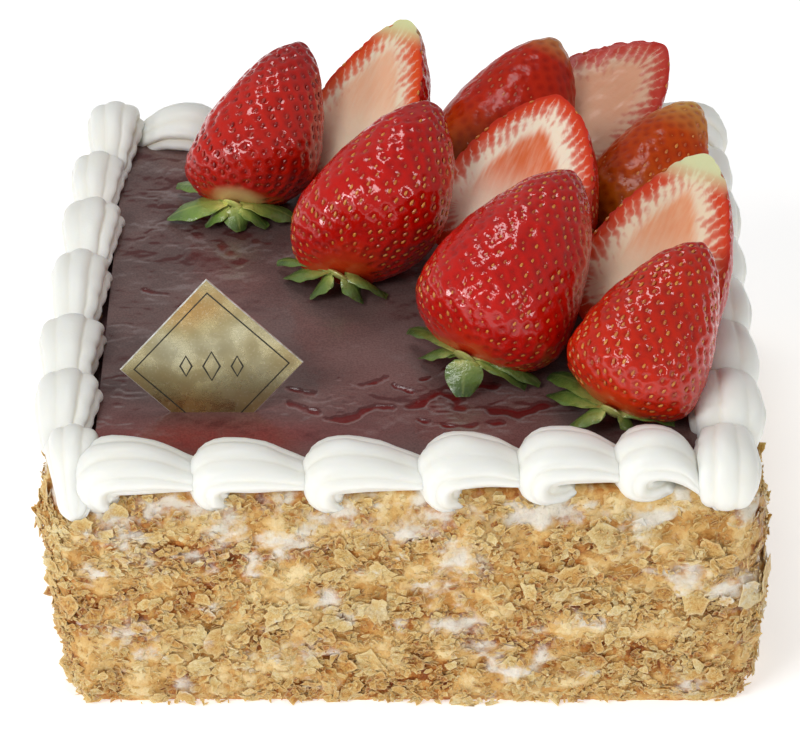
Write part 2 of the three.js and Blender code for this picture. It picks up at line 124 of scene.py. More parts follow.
def unit(vectors):
    """Vectors of the same directions, all 1 long."""
    return vectors / np.maximum(np.linalg.norm(vectors, axis=-1, keepdims=True), 1e-9)


# ---- meshes -------------------------------------------------------------------------------
def sheet_faces(rows, columns, closed=False):
    """Quads of a grid of points, row by row. A closed grid joins its last column to its first."""
    across = columns if closed else columns - 1
    row, column = np.meshgrid(np.arange(rows - 1), np.arange(across), indexing="ij")
    near = row * columns + column
    far = row * columns + (column + 1) % columns
    return np.stack([near, far, far + columns, near + columns], -1).reshape(-1, 4)


def repeated(faces, copies, points_each):
    """The faces of many copies of one small shape."""
    starts = (np.arange(copies) * points_each)[:, None, None]
    return (faces[None] + starts).reshape(-1, faces.shape[-1])


def grid_edge(grid):
    """The points of a grid once round its edge."""
    return np.concatenate([grid[0, :-1], grid[:-1, -1], grid[-1, :0:-1], grid[:0:-1, 0]])


def lathe(radius, height, around):
    """A grid of points turned about the Y axis, with a radius and a height for each row."""
    turn = np.linspace(0, 2 * np.pi, around + 1)[:-1]
    level = np.repeat(height[:, None], around, 1)
    return np.stack([np.outer(radius, np.cos(turn)), level, np.outer(radius, np.sin(turn))], -1)


def square(half):
    """The corners of a flat square, from half its side."""
    return np.array([(-half, -half), (half, -half), (half, half), (-half, half)])


class Parts:
    """Points and faces gathered for one piece, with a material number and named values for each."""

    def __init__(self):
        self.points = []
        self.faces = []
        self.material = []
        self.values = []
        self.count = 0

    def add(self, points, *face_sets, material=0, **values):
        """Add points, arrays of faces between them, and a value of each name for every point."""
        points = np.asarray(points, float).reshape(-1, 3)
        self.points.append(points)
        for faces in face_sets:
            self.faces += [tuple(face) for face in (np.asarray(faces) + self.count).tolist()]
            self.material.append(np.full(len(faces), material))
        spread = {key: np.broadcast_to(np.ravel(value), (len(points),)) for key, value in values.items()}
        self.values.append((len(points), spread))
        self.count += len(points)


def add_piece(name, parts, materials, replaced=(), weld=0.0, crease=None):
    """A piece from gathered parts, in metres, riding on the cake's one body."""
    mesh = bpy.data.meshes.new(name)
    mesh.from_pydata(np.concatenate(parts.points) * MM, [], parts.faces)
    mesh.polygons.foreach_set("material_index", np.concatenate(parts.material).astype(np.int32))
    for key in sorted({key for _, values in parts.values for key in values}):
        column = [values.get(key, np.zeros(count)) for count, values in parts.values]
        attribute = mesh.attributes.new(key, "FLOAT", "POINT")
        attribute.data.foreach_set("value", np.concatenate(column).astype(np.float32))
    if weld:
        shape = bmesh.new()
        shape.from_mesh(mesh)
        bmesh.ops.remove_doubles(shape, verts=shape.verts, dist=weld * MM)
        bmesh.ops.recalc_face_normals(shape, faces=shape.faces)
        shape.to_mesh(mesh)
        shape.free()
    mesh.shade_smooth()
    if crease is not None:
        mesh.set_sharp_from_angle(angle=math.radians(crease))
    for material in materials:
        mesh.materials.append(material)
    piece = bpy.data.objects.new(name, mesh)
    bpy.context.scene.collection.objects.link(piece)
    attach(piece, "root")
    if replaced:
        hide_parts(*replaced)
    return piece


# ---- materials ----------------------------------------------------------------------------
def colour(red, green, blue):
    """An RGBA colour from the 0 to 255 values that a screen shows."""
    shown = (red / 255, green / 255, blue / 255)
    linear = [c / 12.92 if c <= 0.04045 else ((c + 0.055) / 1.055) ** 2.4 for c in shown]
    return (*linear, 1.0)


class Finish:
    """A node-based material, with short calls for the nodes it needs. Settings are shader sockets."""

    def __init__(self, name, **settings):
        self.material = bpy.data.materials.new(name)
        self.material.use_nodes = True
        self.tree = self.material.node_tree
        self.shader = self.tree.nodes["Principled BSDF"]
        for socket, value in settings.items():
            self.shader.inputs[socket.replace("_", " ")].default_value = value
        self.place = self.node("ShaderNodeTexCoord").outputs["Object"]

    def node(self, kind, **settings):
        made = self.tree.nodes.new(kind)
        for key, value in settings.items():
            setattr(made, key, value)
        return made

    def feed(self, socket, source):
        """Link or set a socket. Three numbers for a colour are the 0 to 255 values of a screen."""
        if isinstance(source, bpy.types.NodeSocket):
            self.tree.links.new(source, socket)
        elif socket.type == "RGBA" and len(source) == 3:
            socket.default_value = colour(*source)
        else:
            socket.default_value = source

    def to(self, socket, source):
        self.feed(self.shader.inputs[socket], source)

    def value(self, name):
        """One of the mesh's own named values."""
        return self.node("ShaderNodeAttribute", attribute_name=name).outputs["Fac"]

    def scaled(self, size, stretch=(1, 1, 1)):
        """Places counted in steps of size millimetres."""
        made = self.node("ShaderNodeMapping")
        self.feed(made.inputs["Vector"], self.place)
        made.inputs["Scale"].default_value = [1 / (size * MM * s) for s in stretch]
        return made.outputs["Vector"]

    def lumps(self, place, detail, rough=0.5, scale=1.0):
        """The outputs of a noise texture."""
        made = self.node("ShaderNodeTexNoise")
        made.inputs["Scale"].default_value = scale
        made.inputs["Detail"].default_value = detail
        made.inputs["Roughness"].default_value = rough
        self.feed(made.inputs["Vector"], place)
        return made.outputs

    def noise(self, size, detail=3.0, rough=0.5, stretch=(1, 1, 1)):
        """Noise from 0 to 1 whose lumps are size millimetres across."""
        return self.lumps(self.scaled(size, stretch), detail, rough)["Fac"]

    def cells(self, size, shake=0.5):
        """Uneven cells, size millimetres across: a random number for each, and how far out in it."""
        place = self.scaled(size)
        wobble = self.lumps(place, 3.0, scale=1.4)["Color"]
        bent = self.node("ShaderNodeVectorMath", operation="MULTIPLY_ADD")
        for socket, source in zip(bent.inputs, (wobble, (shake,) * 3, place)):
            self.feed(socket, source)
        made = self.node("ShaderNodeTexVoronoi")
        made.inputs["Scale"].default_value = 1.0
        self.feed(made.inputs["Vector"], bent.outputs[0])
        return made.outputs["Color"], made.outputs["Distance"]

    def math(self, operation, *inputs):
        made = self.node("ShaderNodeMath", operation=operation)
        for socket, source in zip(made.inputs, inputs):
            self.feed(socket, source)
        return made.outputs[0]

    def times(self, first, second):
        return self.math("MULTIPLY", first, second)

    def total(self, *terms):
        """The sum of (weight, source) pairs."""
        parts = [self.times(source, weight) for weight, source in terms]
        result = parts[0]
        for part in parts[1:]:
            result = self.math("ADD", result, part)
        return result

    def about_zero(self, source, width):
        """A value round a half, moved to lie round 0 and made width times as wide."""
        return self.times(self.math("SUBTRACT", source, 0.5), width)

    def ramp(self, source, *stops):
        """Colours along a value, from stops of (place, colour)."""
        made = self.node("ShaderNodeValToRGB")
        band = made.color_ramp
        while len(band.elements) < len(stops):
            band.elements.new(1.0)
        for element, (place, shade) in zip(band.elements, stops):
            element.position = place
            element.color = colour(*shade)
        self.feed(made.inputs["Fac"], source)
        return made.outputs["Color"]

    def level(self, source, low, high, to_low=0.0, to_high=1.0):
        """A value carried from one range to another, and held inside it."""
        made = self.node("ShaderNodeMapRange", interpolation_type="SMOOTHSTEP")
        for socket, number in zip(made.inputs, (source, low, high, to_low, to_high)):
            self.feed(socket, number)
        return made.outputs[0]

    def mix(self, share, first, second, blend="MIX"):
        made = self.node("ShaderNodeMix", data_type="RGBA", blend_type=blend)
        self.feed(next(s for s in made.inputs if s.name == "Factor"), share)
        ends = [s for s in made.inputs if s.type == "RGBA"]
        for socket, source in zip(ends, (first, second)):
            self.feed(socket, source)
        return next(s for s in made.outputs if s.type == "RGBA")

    def tinted(self, source, factor):
        """A colour multiplied by three factors."""
        return self.mix(1.0, source, (*factor, 1.0), blend="MULTIPLY")

    def bump(self, height, depth, strength=1.0, normal=None):
        """A normal from a height of 0 to 1, depth millimetres deep."""
        made = self.node("ShaderNodeBump")
        made.inputs["Strength"].default_value = strength
        made.inputs["Distance"].default_value = depth * MM
        self.feed(made.inputs["Height"], height)
        if normal is not None:
            self.feed(made.inputs["Normal"], normal)
        return made.outputs["Normal"]


def cream_finish():
    made = Finish("whipped_cream", Roughness=0.40, Specular_IOR_Level=0.35, Subsurface_Weight=0.45,
                  Subsurface_Radius=(1.0, 0.90, 0.72), Subsurface_Scale=2.5 * MM)
    # painted shade: the grooves between the ridges are a little darker and warmer
    stops = (0.0, (241, 242, 236)), (0.6, (239, 238, 229)), (1.0, (236, 231, 216))
    tint = made.ramp(made.value("groove"), *stops)
    patch = made.level(made.noise(9.0, detail=2), 0.45, 0.75, 0.0, 0.3)
    made.to("Base Color", made.mix(patch, tint, (240, 238, 226)))
    fine = made.noise(0.9, detail=4, rough=0.6)
    made.to("Normal", made.bump(fine, 0.10, strength=0.45))
    return made.material


def glaze_finish():
    made = Finish("fruit_glaze", Roughness=0.12, IOR=1.44)
    # painted reflection: the dark red glaze is coloured grey-brown, with the sheen of the bright room painted
    # in
    stops = (0.30, (92, 74, 72)), (0.52, (108, 86, 83)), (0.72, (118, 90, 86))
    shade = made.ramp(made.noise(22.0, detail=3), *stops)
    # painted reflection: redder in front of the card, where the card hides the room's sheen, and in wider
    # redder patches
    shade = made.mix(made.value("warm"), shade, (130, 54, 52))
    cloud = made.level(made.noise(7.0, detail=5, rough=0.7), 0.40, 0.72, 0.0, 0.35)
    shade = made.mix(cloud, shade, (118, 86, 82))
    # painted reflection: greyer in the middle of the top, where the berries hide the room's sheen
    shade = made.mix(made.times(made.value("haze"), 0.6), shade, (132, 110, 107))
    # painted reflection: the ripples are redder on the slopes that face the front, and greyer on those that
    # face away
    facing = made.value("facing")
    shade = made.mix(made.level(facing, 0.10, 0.75, 0.0, 0.75), shade, (78, 30, 30))
    shade = made.mix(made.level(facing, -0.75, -0.10, 0.55, 0.0), shade, (146, 130, 128))
    speck = made.level(made.noise(0.45, detail=4, rough=0.7), 0.35, 0.65, 0.84, 1.16)
    shade = made.mix(1.0, shade, speck, blend="MULTIPLY")
    # the streaks leave out the painted grey reflection, so the glaze's own dark red shows
    streak = made.level(made.value("streak"), 0.30, 0.70, 0.0, 0.85)
    made.to("Base Color", made.mix(streak, shade, (100, 18, 18)))
    fine = made.noise(1.8, detail=5, rough=0.65, stretch=(1.5, 1, 1))
    made.to("Normal", made.bump(fine, 0.22, strength=0.5))
    made.to("Roughness", made.level(made.noise(5.0, detail=3), 0.35, 0.7, 0.04, 0.14))
    return made.material


def pastry_cream(made, share, pastry):
    """Pastry colour giving way softly to smeared cream where share is above 0."""
    grain = made.math("SUBTRACT", made.noise(1.3, detail=5, rough=0.7, stretch=(1.4, 1.4, 1)), 0.5)
    smear = made.total((1.0, share), (1.7, grain))
    cream = made.ramp(made.noise(3.0, detail=4), (0.35, (222, 214, 198)), (0.65, (240, 235, 224)))
    return made.mix(made.level(smear, -0.30, 0.70, 0.0, 0.9), pastry, cream)


def pastry(name, roughness, subsurface):
    """A matt material that lets a little light in, as pastry does."""
    return Finish(name, Roughness=roughness, Subsurface_Weight=subsurface,
                  Subsurface_Radius=(1.0, 0.70, 0.40), Subsurface_Scale=1.2 * MM)


def coat_finish():
    """What shows between the flakes: smaller flakes pressed in, cream, and a painted shade that makes the
    hollows browner.
    """
    made = pastry("flaky_coat", 0.65, 0.25)
    wide, wide_out = made.cells(2.3)
    small, small_out = made.cells(1.15)
    mottle = made.noise(1.0, detail=5, rough=0.75)
    region = made.noise(9.0, detail=3)
    speck = made.noise(0.35, detail=3, rough=0.7)
    # painted shade: high is the height of the crags, so the hollows come out browner
    tone = made.total((0.30, wide), (0.20, small), (0.20, mottle), (0.24, speck), (0.18, region),
                      (0.20, made.value("high")))
    baked = (0.30, (142, 70, 16)), (0.44, (194, 122, 44)), (0.60, (216, 168, 92)), (0.80, (234, 204, 142))
    soft = (0.30, (204, 148, 66)), (0.50, (222, 184, 112)), (0.76, (240, 218, 168))
    wet = made.times(made.value("wet"), 0.75)
    shade = made.mix(wet, made.ramp(tone, *baked), made.ramp(tone, *soft))
    shade = pastry_cream(made, made.value("cream"), shade)
    made.to("Base Color", made.mix(made.value("glazed"), shade, (70, 32, 32)))
    height = made.total((0.45, wide), (0.35, small), (0.45, mottle), (-0.25, wide_out), (-0.25, small_out))
    made.to("Normal", made.bump(height, 0.70, strength=0.85))
    return made.material


def flake_finish(name, shift):
    """Baked pastry. Its tone drifts from flake to flake and across the cake, and shift moves it all."""
    made = pastry(name, 0.52, 0.3)
    blister = made.level(made.noise(0.8, detail=5, rough=0.75), 0.28, 0.72, 0.0, 0.42)
    region = made.level(made.noise(7.0, detail=4, rough=0.6), 0.32, 0.68, shift - 0.03, shift + 0.25)
    speck = made.level(made.noise(0.35, detail=3, rough=0.7), 0.30, 0.70, -0.13, 0.13)
    own = made.value("tone")
    high = made.value("high")
    # painted shade: flakes that lie on the coat's hollows come out browner
    tone = made.total((0.20, own), (1.0, blister), (1.0, speck), (1.0, region), (0.12, high))
    baked = (0.10, (150, 80, 22)), (0.36, (204, 150, 70)), (0.64, (222, 186, 118)), (0.95, (238, 216, 166))
    edge = made.level(made.value("edge"), 0.6, 1.0, 0.0, 0.45)
    shade = made.mix(edge, made.ramp(tone, *baked), (240, 216, 162))
    made.to("Base Color", pastry_cream(made, made.math("SUBTRACT", made.value("cream"), 0.14), shade))
    grain = made.noise(0.5, detail=4, rough=0.8, stretch=(1, 1, 0.7))
    made.to("Normal", made.bump(grain, 0.24, strength=0.9))
    return made.material


JELLY_FILL = 0.20  # the share of a dimple's depth that the jelly fills


def skin_finish(name, root, middle, tip, root_end, tip_start, wet):
    """Strawberry skin under clear jelly. The value share runs from the leafy end to the tip."""
    made = Finish(name, Roughness=0.30, Specular_IOR_Level=0.06, Coat_Weight=wet, Coat_Roughness=0.02,
                  Subsurface_Weight=0.12, Subsurface_Radius=(1.0, 0.25, 0.12), Subsurface_Scale=1.2 * MM)
    wander = made.about_zero(made.noise(11.0, detail=2), 0.03)
    share = made.math("ADD", made.value("share"), wander)
    body = made.ramp(share, (0.004, root), (root_end, middle), (tip_start, middle), (0.99, tip))
    patchy = made.level(made.noise(6.5, detail=3), 0.42, 0.72, 0.0, 0.5)
    body = made.mix(patchy, body, made.tinted(body, (0.74, 0.40, 0.50)))
    pit = made.value("pit")
    # painted shade: the skin is darker down in its dimples
    made.to("Base Color", made.mix(made.times(pit, 0.7), body, made.tinted(body, (0.66, 0.34, 0.25))))
    # the jelly fills the dimples a little, and has slow waves of its own
    filled = made.bump(pit, JELLY_FILL * DIMPLE["depth"])
    waves = made.noise(1.6, detail=2, rough=0.55)
    made.to("Coat Normal", made.bump(waves, 0.14, normal=filled))
    made.to("Normal", made.bump(made.noise(0.8, detail=3), 0.08, strength=0.5))
    return made.material


def seed_finish(name, dark, light):
    made = Finish(name, Roughness=0.35, Coat_Weight=0.35, Coat_Roughness=0.05)
    mottle = made.total((0.7, made.value("tone")), (0.3, made.noise(0.5)))
    made.to("Base Color", made.ramp(mottle, (0.25, dark), (0.75, light)))
    made.to("Normal", made.bump(made.noise(0.4), 0.05, strength=0.4))
    return made.material


VEIN_SLANT = 0.7
VEIN_SPACING = 2.7  # millimetres between the pale veins of a cut strawberry
RIM_REACH = (4.1, 6.2)  # depth of its red rim, at a vein and between two


def flesh_rim(made, inward):
    """How far a point is from the nearest vein, and how deep it lies in the red rim, as a share."""
    drift = made.times(made.noise(5.0, detail=2), 3.0)
    off_vein = made.math("PINGPONG", made.math("ADD", made.value("arc_mm"), drift), VEIN_SPACING / 2)
    uneven = made.level(made.noise(3.2, detail=2), 0.3, 0.7, 0.70, 1.3)
    reach = made.times(made.level(off_vein, 0.0, VEIN_SPACING / 2, *RIM_REACH), uneven)
    return off_vein, made.math("DIVIDE", inward, reach)


def flesh_core(made, inward, share, starts, strength):
    """Fibres along the berry, and how strongly the core's colour shows in them."""
    flat = made.node("ShaderNodeCombineXYZ")
    made.feed(flat.inputs[0], made.times(made.value("across_mm"), 0.9))
    made.feed(flat.inputs[1], made.times(made.value("along_mm"), 0.14))
    fibre = made.lumps(flat.outputs[0], 3.0)["Fac"]
    depth = made.math("ADD", inward, made.about_zero(fibre, 3.0))
    inner = made.level(depth, starts - 1.0, starts + 2.0, 0.0, strength)
    ends = made.times(made.level(share, 0.24, 0.62), made.level(share, 0.78, 0.95, 1.0, 0.0))
    return fibre, made.times(made.times(inner, ends), made.level(fibre, 0.3, 0.65, 0.80, 1.0))


def flesh_finish(name, rim, white, core, core_from, core_strength, tip, tip_start):
    """A cut strawberry. rim_mm is the distance in from the skin, arc_mm the distance along it."""
    made = Finish(name, Roughness=0.42, Specular_IOR_Level=0.25, Coat_Weight=0.12, Coat_Roughness=0.10,
                  Subsurface_Weight=0.25, Subsurface_Radius=(1.0, 0.5, 0.35), Subsurface_Scale=1.5 * MM)
    inward = made.value("rim_mm")
    share = made.value("share")
    grain = made.noise(1.0, detail=4, rough=0.6)
    pulp = made.mix(made.times(grain, 0.4), white, made.tinted(white, (1.0, 0.9, 0.82)))
    fibre, cored = flesh_core(made, inward, share, core_from, core_strength)
    pulp = made.mix(cored, pulp, core)
    # a red rim of soft strokes between thin pale veins
    off_vein, depth = flesh_rim(made, inward)
    face = made.mix(made.level(depth, 0.65, 1.30, 1.0, 0.0), pulp, made.mix(0.45, rim, white))
    face = made.mix(made.level(depth, 0.30, 1.05, 1.0, 0.0), face, rim)
    face = made.mix(made.level(inward, 0.1, 1.5, 1.0, 0.0), face, made.tinted(rim, (0.80, 0.40, 0.5)))
    thin = made.level(off_vein, 0.0, 0.34, 0.48, 0.0)
    in_rim = made.times(made.level(inward, 0.5, 2.2), made.level(depth, 0.9, 1.5, 1.0, 0.0))
    face = made.mix(made.times(thin, in_rim), face, white)
    made.to("Base Color", made.mix(made.level(share, tip_start, tip_start + 0.15), face, tip))
    made.to("Normal", made.bump(made.total((0.6, fibre), (0.4, grain)), 0.22, strength=0.5))
    return made.material


def leaf_finish(name, strength):
    """A fresh green leaf. A strength below 1 makes a darker one."""
    made = Finish(name, Roughness=0.34, Coat_Weight=0.7, Coat_Roughness=0.07, Subsurface_Weight=0.1,
                  Subsurface_Radius=(0.5, 1.0, 0.2), Subsurface_Scale=0.5 * MM)
    along = made.math("ADD", made.value("share"), made.about_zero(made.noise(3.0), 0.5))
    stops = (0.0, (226, 228, 140)), (0.18, (174, 190, 100)), (0.50, (124, 154, 72)), (1.0, (72, 102, 50))
    vein = made.level(made.value("midrib"), 0.0, 0.16, 0.4, 0.0)
    green = made.mix(vein, made.ramp(along, *stops), (174, 188, 108))
    made.to("Base Color", made.tinted(green, (strength, strength, 0.9 * strength)))
    made.to("Coat Normal", made.bump(made.noise(1.0, detail=3), 0.25, strength=0.9))
    made.to("Normal", made.bump(made.noise(0.8, detail=4), 0.25, strength=0.8))
    return made.material


def foil_finish():
    made = Finish("gold_foil", Metallic=1.0, Roughness=0.26)
    stops = (0.32, (188, 182, 152)), (0.50, (180, 166, 124)), (0.68, (184, 150, 98))
    gold = made.ramp(made.noise(16.0, detail=2), *stops)
    speckle = made.level(made.noise(0.45, detail=2), 0.55, 0.75, 0.0, 0.25)
    made.to("Base Color", made.mix(speckle, gold, (238, 232, 208)))
    crinkle = made.noise(1.0, detail=5, rough=0.75)
    made.to("Normal", made.bump(crinkle, 0.06, strength=0.6))
    made.to("Roughness", made.level(made.noise(4.0, detail=4), 0.3, 0.7, 0.18, 0.40))
    return made.material


def card_edge_highlight_finish():
    # painted highlight: the card's bevelled edge is near white, as a bright line of light along it
    made = Finish("card_edge_painted_highlight", Metallic=0.7, Roughness=0.35)
    highlight_mottle = made.noise(1.5, detail=4)
    made.to("Base Color", made.ramp(highlight_mottle, (0.35, (206, 202, 182)), (0.6, (250, 250, 246))))
    made.to("Normal", made.bump(made.noise(0.8, detail=4, rough=0.7), 0.12, strength=0.8))
    return made.material


def ink_finish():
    made = Finish("card_ink", Roughness=0.45)
    made.to("Base Color", made.ramp(made.noise(0.6, detail=3), (0.3, (38, 36, 26)), (0.7, (58, 54, 40))))
    return made.material


# ---- the coated block ---------------------------------------------------------------------
FLAT = CAKE_HALF - CORNER_RADIUS
SIDE_RUN = 2 * FLAT + math.pi / 2 * CORNER_RADIUS  # one straight and one corner of the outline
COAT_STEP = 0.85  # between points of the coat, round the cake
COAT_LEVELS = 64
COAT_INSET = 0.7  # the coat under the flakes lies this far inside the mean surface
COAT_ROUGH = 0.95  # height of its crags
CAP_RINGS = np.array([1.0, 0.925, 0.915, 0.0])  # shares of the way out across the top and the bottom
CAP_GLAZED = np.array([0.0, 0.0, 1.0, 1.0])  # the glaze has run out under the cream


def outline_at(run):
    """Points of the block's outline, and its outward normals, at distances round it."""
    run = np.mod(run, 4 * SIDE_RUN)
    side = np.floor(run / SIDE_RUN)
    rest = run - side * SIDE_RUN
    bend = np.clip((rest - 2 * FLAT) / CORNER_RADIUS, 0, None)
    normal = np.stack([np.sin(bend), -np.cos(bend)], -1)
    core = np.stack([np.minimum(rest, 2 * FLAT) - FLAT, np.full_like(rest, -FLAT)], -1)
    flat_point = core + CORNER_RADIUS * normal
    turn = side * math.pi / 2
    cosine, sine = np.cos(turn), np.sin(turn)

    def turned(v):
        return np.stack([v[..., 0] * cosine - v[..., 1] * sine, v[..., 0] * sine + v[..., 1] * cosine], -1)

    return turned(flat_point), turned(normal)


def coat_offset(normal_x, y, height):
    """How far the coat stands out from the plain square at a height."""
    low = np.maximum(0, 1 - height / FOOT["height"])
    high = np.maximum(0, (height - SHOULDER["from"]) / (BLOCK_TOP - SHOULDER["from"]))
    rise = np.minimum(1, height / BLOCK_TOP)
    lean = np.minimum(normal_x, 0) * LEFT_LEAN * (1 - rise) ** LEAN_POWER
    bulge = np.maximum(normal_x, 0) * SIDE_BULGE * np.sin(np.pi * rise)
    aside = normal_x**2
    foot = (FOOT["inset"] * (1 - aside) + FOOT["side_inset"] * aside) * low**2
    shoulder = (SHOULDER["inset"] * (1 - aside) + SHOULDER["side_inset"] * aside) * high
    taper = BACK_TAPER * aside * (0.5 + y / (2 * CAKE_HALF))
    return lean + bulge - foot - shoulder - taper


def coat_surface(run, height, out=0.0):
    """Points on the coated side, and their level outward normals."""
    flat_point, flat_normal = outline_at(run)
    stand = coat_offset(flat_normal[..., 0], flat_point[..., 1], height) + out
    point = np.concatenate([flat_point + flat_normal * stand[..., None], height[..., None]], -1)
    normal = np.concatenate([flat_normal, np.zeros_like(height)[..., None]], -1)
    return point, normal


SMEARS = (  # cream on the front, each by its x, its height, half its width and half its height
    (-36, 45, 3.0, 3.0), (-42, 38, 4.5, 1.2), (-24, 42, 5.0, 2.0), (-31, 36, 1.5, 2.5),
    (-12, 48, 6.0, 2.0), (0, 44.5, 6.0, 1.8), (-56, 38, 2.0, 1.5), (-63.5, 34, 2.0, 2.0),
    (-57.5, 19, 5.0, 1.8), (-11, 23, 1.5, 1.2), (-15, 28, 1.5, 2.5), (-19, 14, 3.0, 1.8),
    (-45, 50, 7.0, 1.5), (-56, 43, 4.5, 1.5), (13, 38, 4.0, 3.0), (34, 48.5, 6.0, 1.5),
    (49, 46, 2.0, 4.0), (69, 30, 5.0, 3.5), (61, 34, 1.5, 2.5), (6, 30, 2.5, 2.0), (13, 21, 4.0, 2.4),
    (17, 15, 2.5, 1.0), (61, 4.5, 2.5, 2.5), (-60, 47, 4.0, 2.5), (24, 9, 1.6, 1.6),
)


def cream_patch(points):
    """How much bare cream shows, from below 0 for none to 1: more of it near the top."""
    patch = layered(points * np.array([1, 1, 1.5]), 6.5, 3, seed=31)
    high = smooth_step(40, 49, points[..., 2])
    front = smooth_step(-CAKE_HALF + 12, -CAKE_HALF + 4, points[..., 1])
    share = 1.6 * (patch - 0.54 + 0.36 * high - 0.10 * front)
    ragged = 0.55 * layered(points * np.array([0.8, 1, 1.4]), 2.0, 3, seed=33)
    for x, z, half_width, half_height in SMEARS:
        away = np.hypot((points[..., 0] - x) / half_width, (points[..., 2] - z) / half_height)
        share = np.maximum(share, np.where(front > 0, 0.56 - 0.44 * away + ragged, -1))
    return np.clip(share, -1, 1)


def soaked(points):
    """Where cream has soaked the pastry, so that the flakes sink into it: 0 for nowhere to 1."""
    patch = layered(points * np.array([1, 1, 1.4]), 9.0, 3, seed=37)
    return smooth_step(-0.05, 0.30, patch)


def crags(points):
    """How far the rough coat stands out, or in, at each point."""
    return layered(points, 5.0, 4, seed=3) * COAT_ROUGH


def build_coat(finish):
    columns = int(4 * SIDE_RUN / COAT_STEP)
    height = np.linspace(0, BLOCK_TOP, COAT_LEVELS)
    heights, runs = np.meshgrid(height, np.arange(columns) * 4 * SIDE_RUN / columns, indexing="ij")
    mean, normal = coat_surface(runs, heights, -COAT_INSET)
    rough = crags(mean) * smooth_step(0, 2.5, heights)
    cream = cream_patch(mean)
    bare = np.clip(cream, 0, 1)
    wet = soaked(mean)
    fine = 0.16 * layered(mean * np.array([1, 1, 2.0]), 1.9, 2, seed=39)
    stand = rough * (1 - 0.5 * bare) + 0.5 * bare + 0.30 * wet + fine
    points = mean + normal * stand[..., None]
    parts = Parts()
    side = sheet_faces(COAT_LEVELS, columns, closed=True)
    # high, the height of the crags, drives the painted shade in the hollows
    parts.add(points, side, cream=cream, high=rough / COAT_ROUGH, wet=wet)
    rings = len(CAP_RINGS)
    for row in (0, COAT_LEVELS - 1):
        middle = np.array([0, 0, points[row, 0, 2]])
        cap = middle + (points[row] - middle) * CAP_RINGS[:, None, None]
        glazed = np.repeat(CAP_GLAZED if row else np.zeros(rings), columns)
        faces = sheet_faces(rings, columns, closed=True)
        parts.add(cap, faces, cream=np.tile(cream[row], rings), glazed=glazed)
    add_piece("coat", parts, [finish], ["body"], weld=WELD)


# ---- the loose flakes ---------------------------------------------------------------------
STACK_GAP = 0.5
LOWEST_FLAKE = 0.4
FLAKE_SPAN = BLOCK_TOP - 1.2  # how far up from the lowest flake the others lie
SOAKED_SINK = 0.55  # how far flakes sink into soaked places
FOOT_SPREAD = 0.8  # how much further out some flakes stand at the very foot
# For each size of chip: how many, their reach from the middle, corners, points along each edge, rings
# across, chips in a stack, how far out they lie, how much they tip, thickness, how slim they are, how
# much they curl, the barest cream that they lie on, and the share that lies level.
FLAKE_SIZES = {
    "plates": dict(count=300, sizes=(2.4, 5.6), breaks=6, steps=3, rings=2, stack=1, lift=(0.7, 1.1),
                   tip=0.12, thickness=0.20, slim=(0.5, 1.0), curl=0.25, bare_limit=0.15, level=0.4),
    "slivers": dict(count=2200, sizes=(1.3, 3.2), breaks=4, steps=2, rings=1, stack=1, lift=(0.3, 0.9),
                    tip=0.45, thickness=0.14, slim=(0.22, 0.45), curl=0.4, bare_limit=0.2, level=0.7),
    "scraps": dict(count=4600, sizes=(1.0, 2.9), breaks=5, steps=2, rings=1, stack=1, lift=(0.3, 0.9),
                   tip=0.30, thickness=0.14, slim=(0.45, 1.0), curl=0.6, bare_limit=0.2, level=0.5),
    "bits": dict(count=13500, sizes=(0.6, 1.7), breaks=5, steps=1, rings=1, stack=1, lift=(0.2, 0.8),
                 tip=0.42, thickness=0.13, slim=(0.4, 1.0), curl=0.5, bare_limit=0.25, level=0.5),
    "layers": dict(count=1500, sizes=(1.2, 2.8), breaks=4, steps=2, rings=1, stack=3, lift=(0.2, 0.8),
                   tip=0.90, thickness=0.13, slim=(0.3, 0.6), curl=0.3, bare_limit=0.1, level=0.8),
    "crumbs": dict(count=3600, sizes=(0.35, 0.8), breaks=5, steps=1, rings=1, stack=1, lift=(0.3, 1.1),
                   tip=0.80, thickness=0.22, slim=(0.5, 1.0), curl=0.4, bare_limit=0.5, level=0.2),
}
FLAKE_KINDS = {  # shift of the pastry's tone, seed of the draw, and the kind's share of each size
    "pale": (0.20, 404, dict(plates=0.4, slivers=0.25, scraps=0.25, bits=0.31, layers=0.2, crumbs=0.3)),
    "light": (0.10, 101, dict(plates=0.35, slivers=0.3, scraps=0.27, bits=0.28, layers=0.3, crumbs=0.3)),
    "golden": (0.0, 202, dict(plates=0.2, slivers=0.3, scraps=0.3, bits=0.28, layers=0.3, crumbs=0.2)),
    "toasted": (-0.10, 303, dict(slivers=0.3, scraps=0.15, bits=0.27, layers=0.25, crumbs=0.2)),
}


def torn_outline(draw, total, form):
    """Outlines of torn plates about 1 in radius: a few corners at odd angles, and ragged edges."""
    breaks, steps = form["breaks"], form["steps"]
    slim, broad = form["slim"]
    angle = (np.arange(breaks) + 0.8 * draw.random((total, breaks))) / breaks * 2 * np.pi
    reach = 0.5 + 0.5 * draw.random((total, breaks))
    narrow = slim + (broad - slim) * draw.random((total, 1))
    corner = np.stack([reach * np.cos(angle), reach * np.sin(angle) * narrow], -1)[:, :, None]
    share = (np.arange(steps) / steps)[:, None]
    edge = corner * (1 - share) + np.roll(corner, -1, 1) * share
    edge = edge + 0.24 * (share > 0) * (draw.random(edge.shape) - 0.5)
    return edge.reshape(total, breaks * steps, 2)


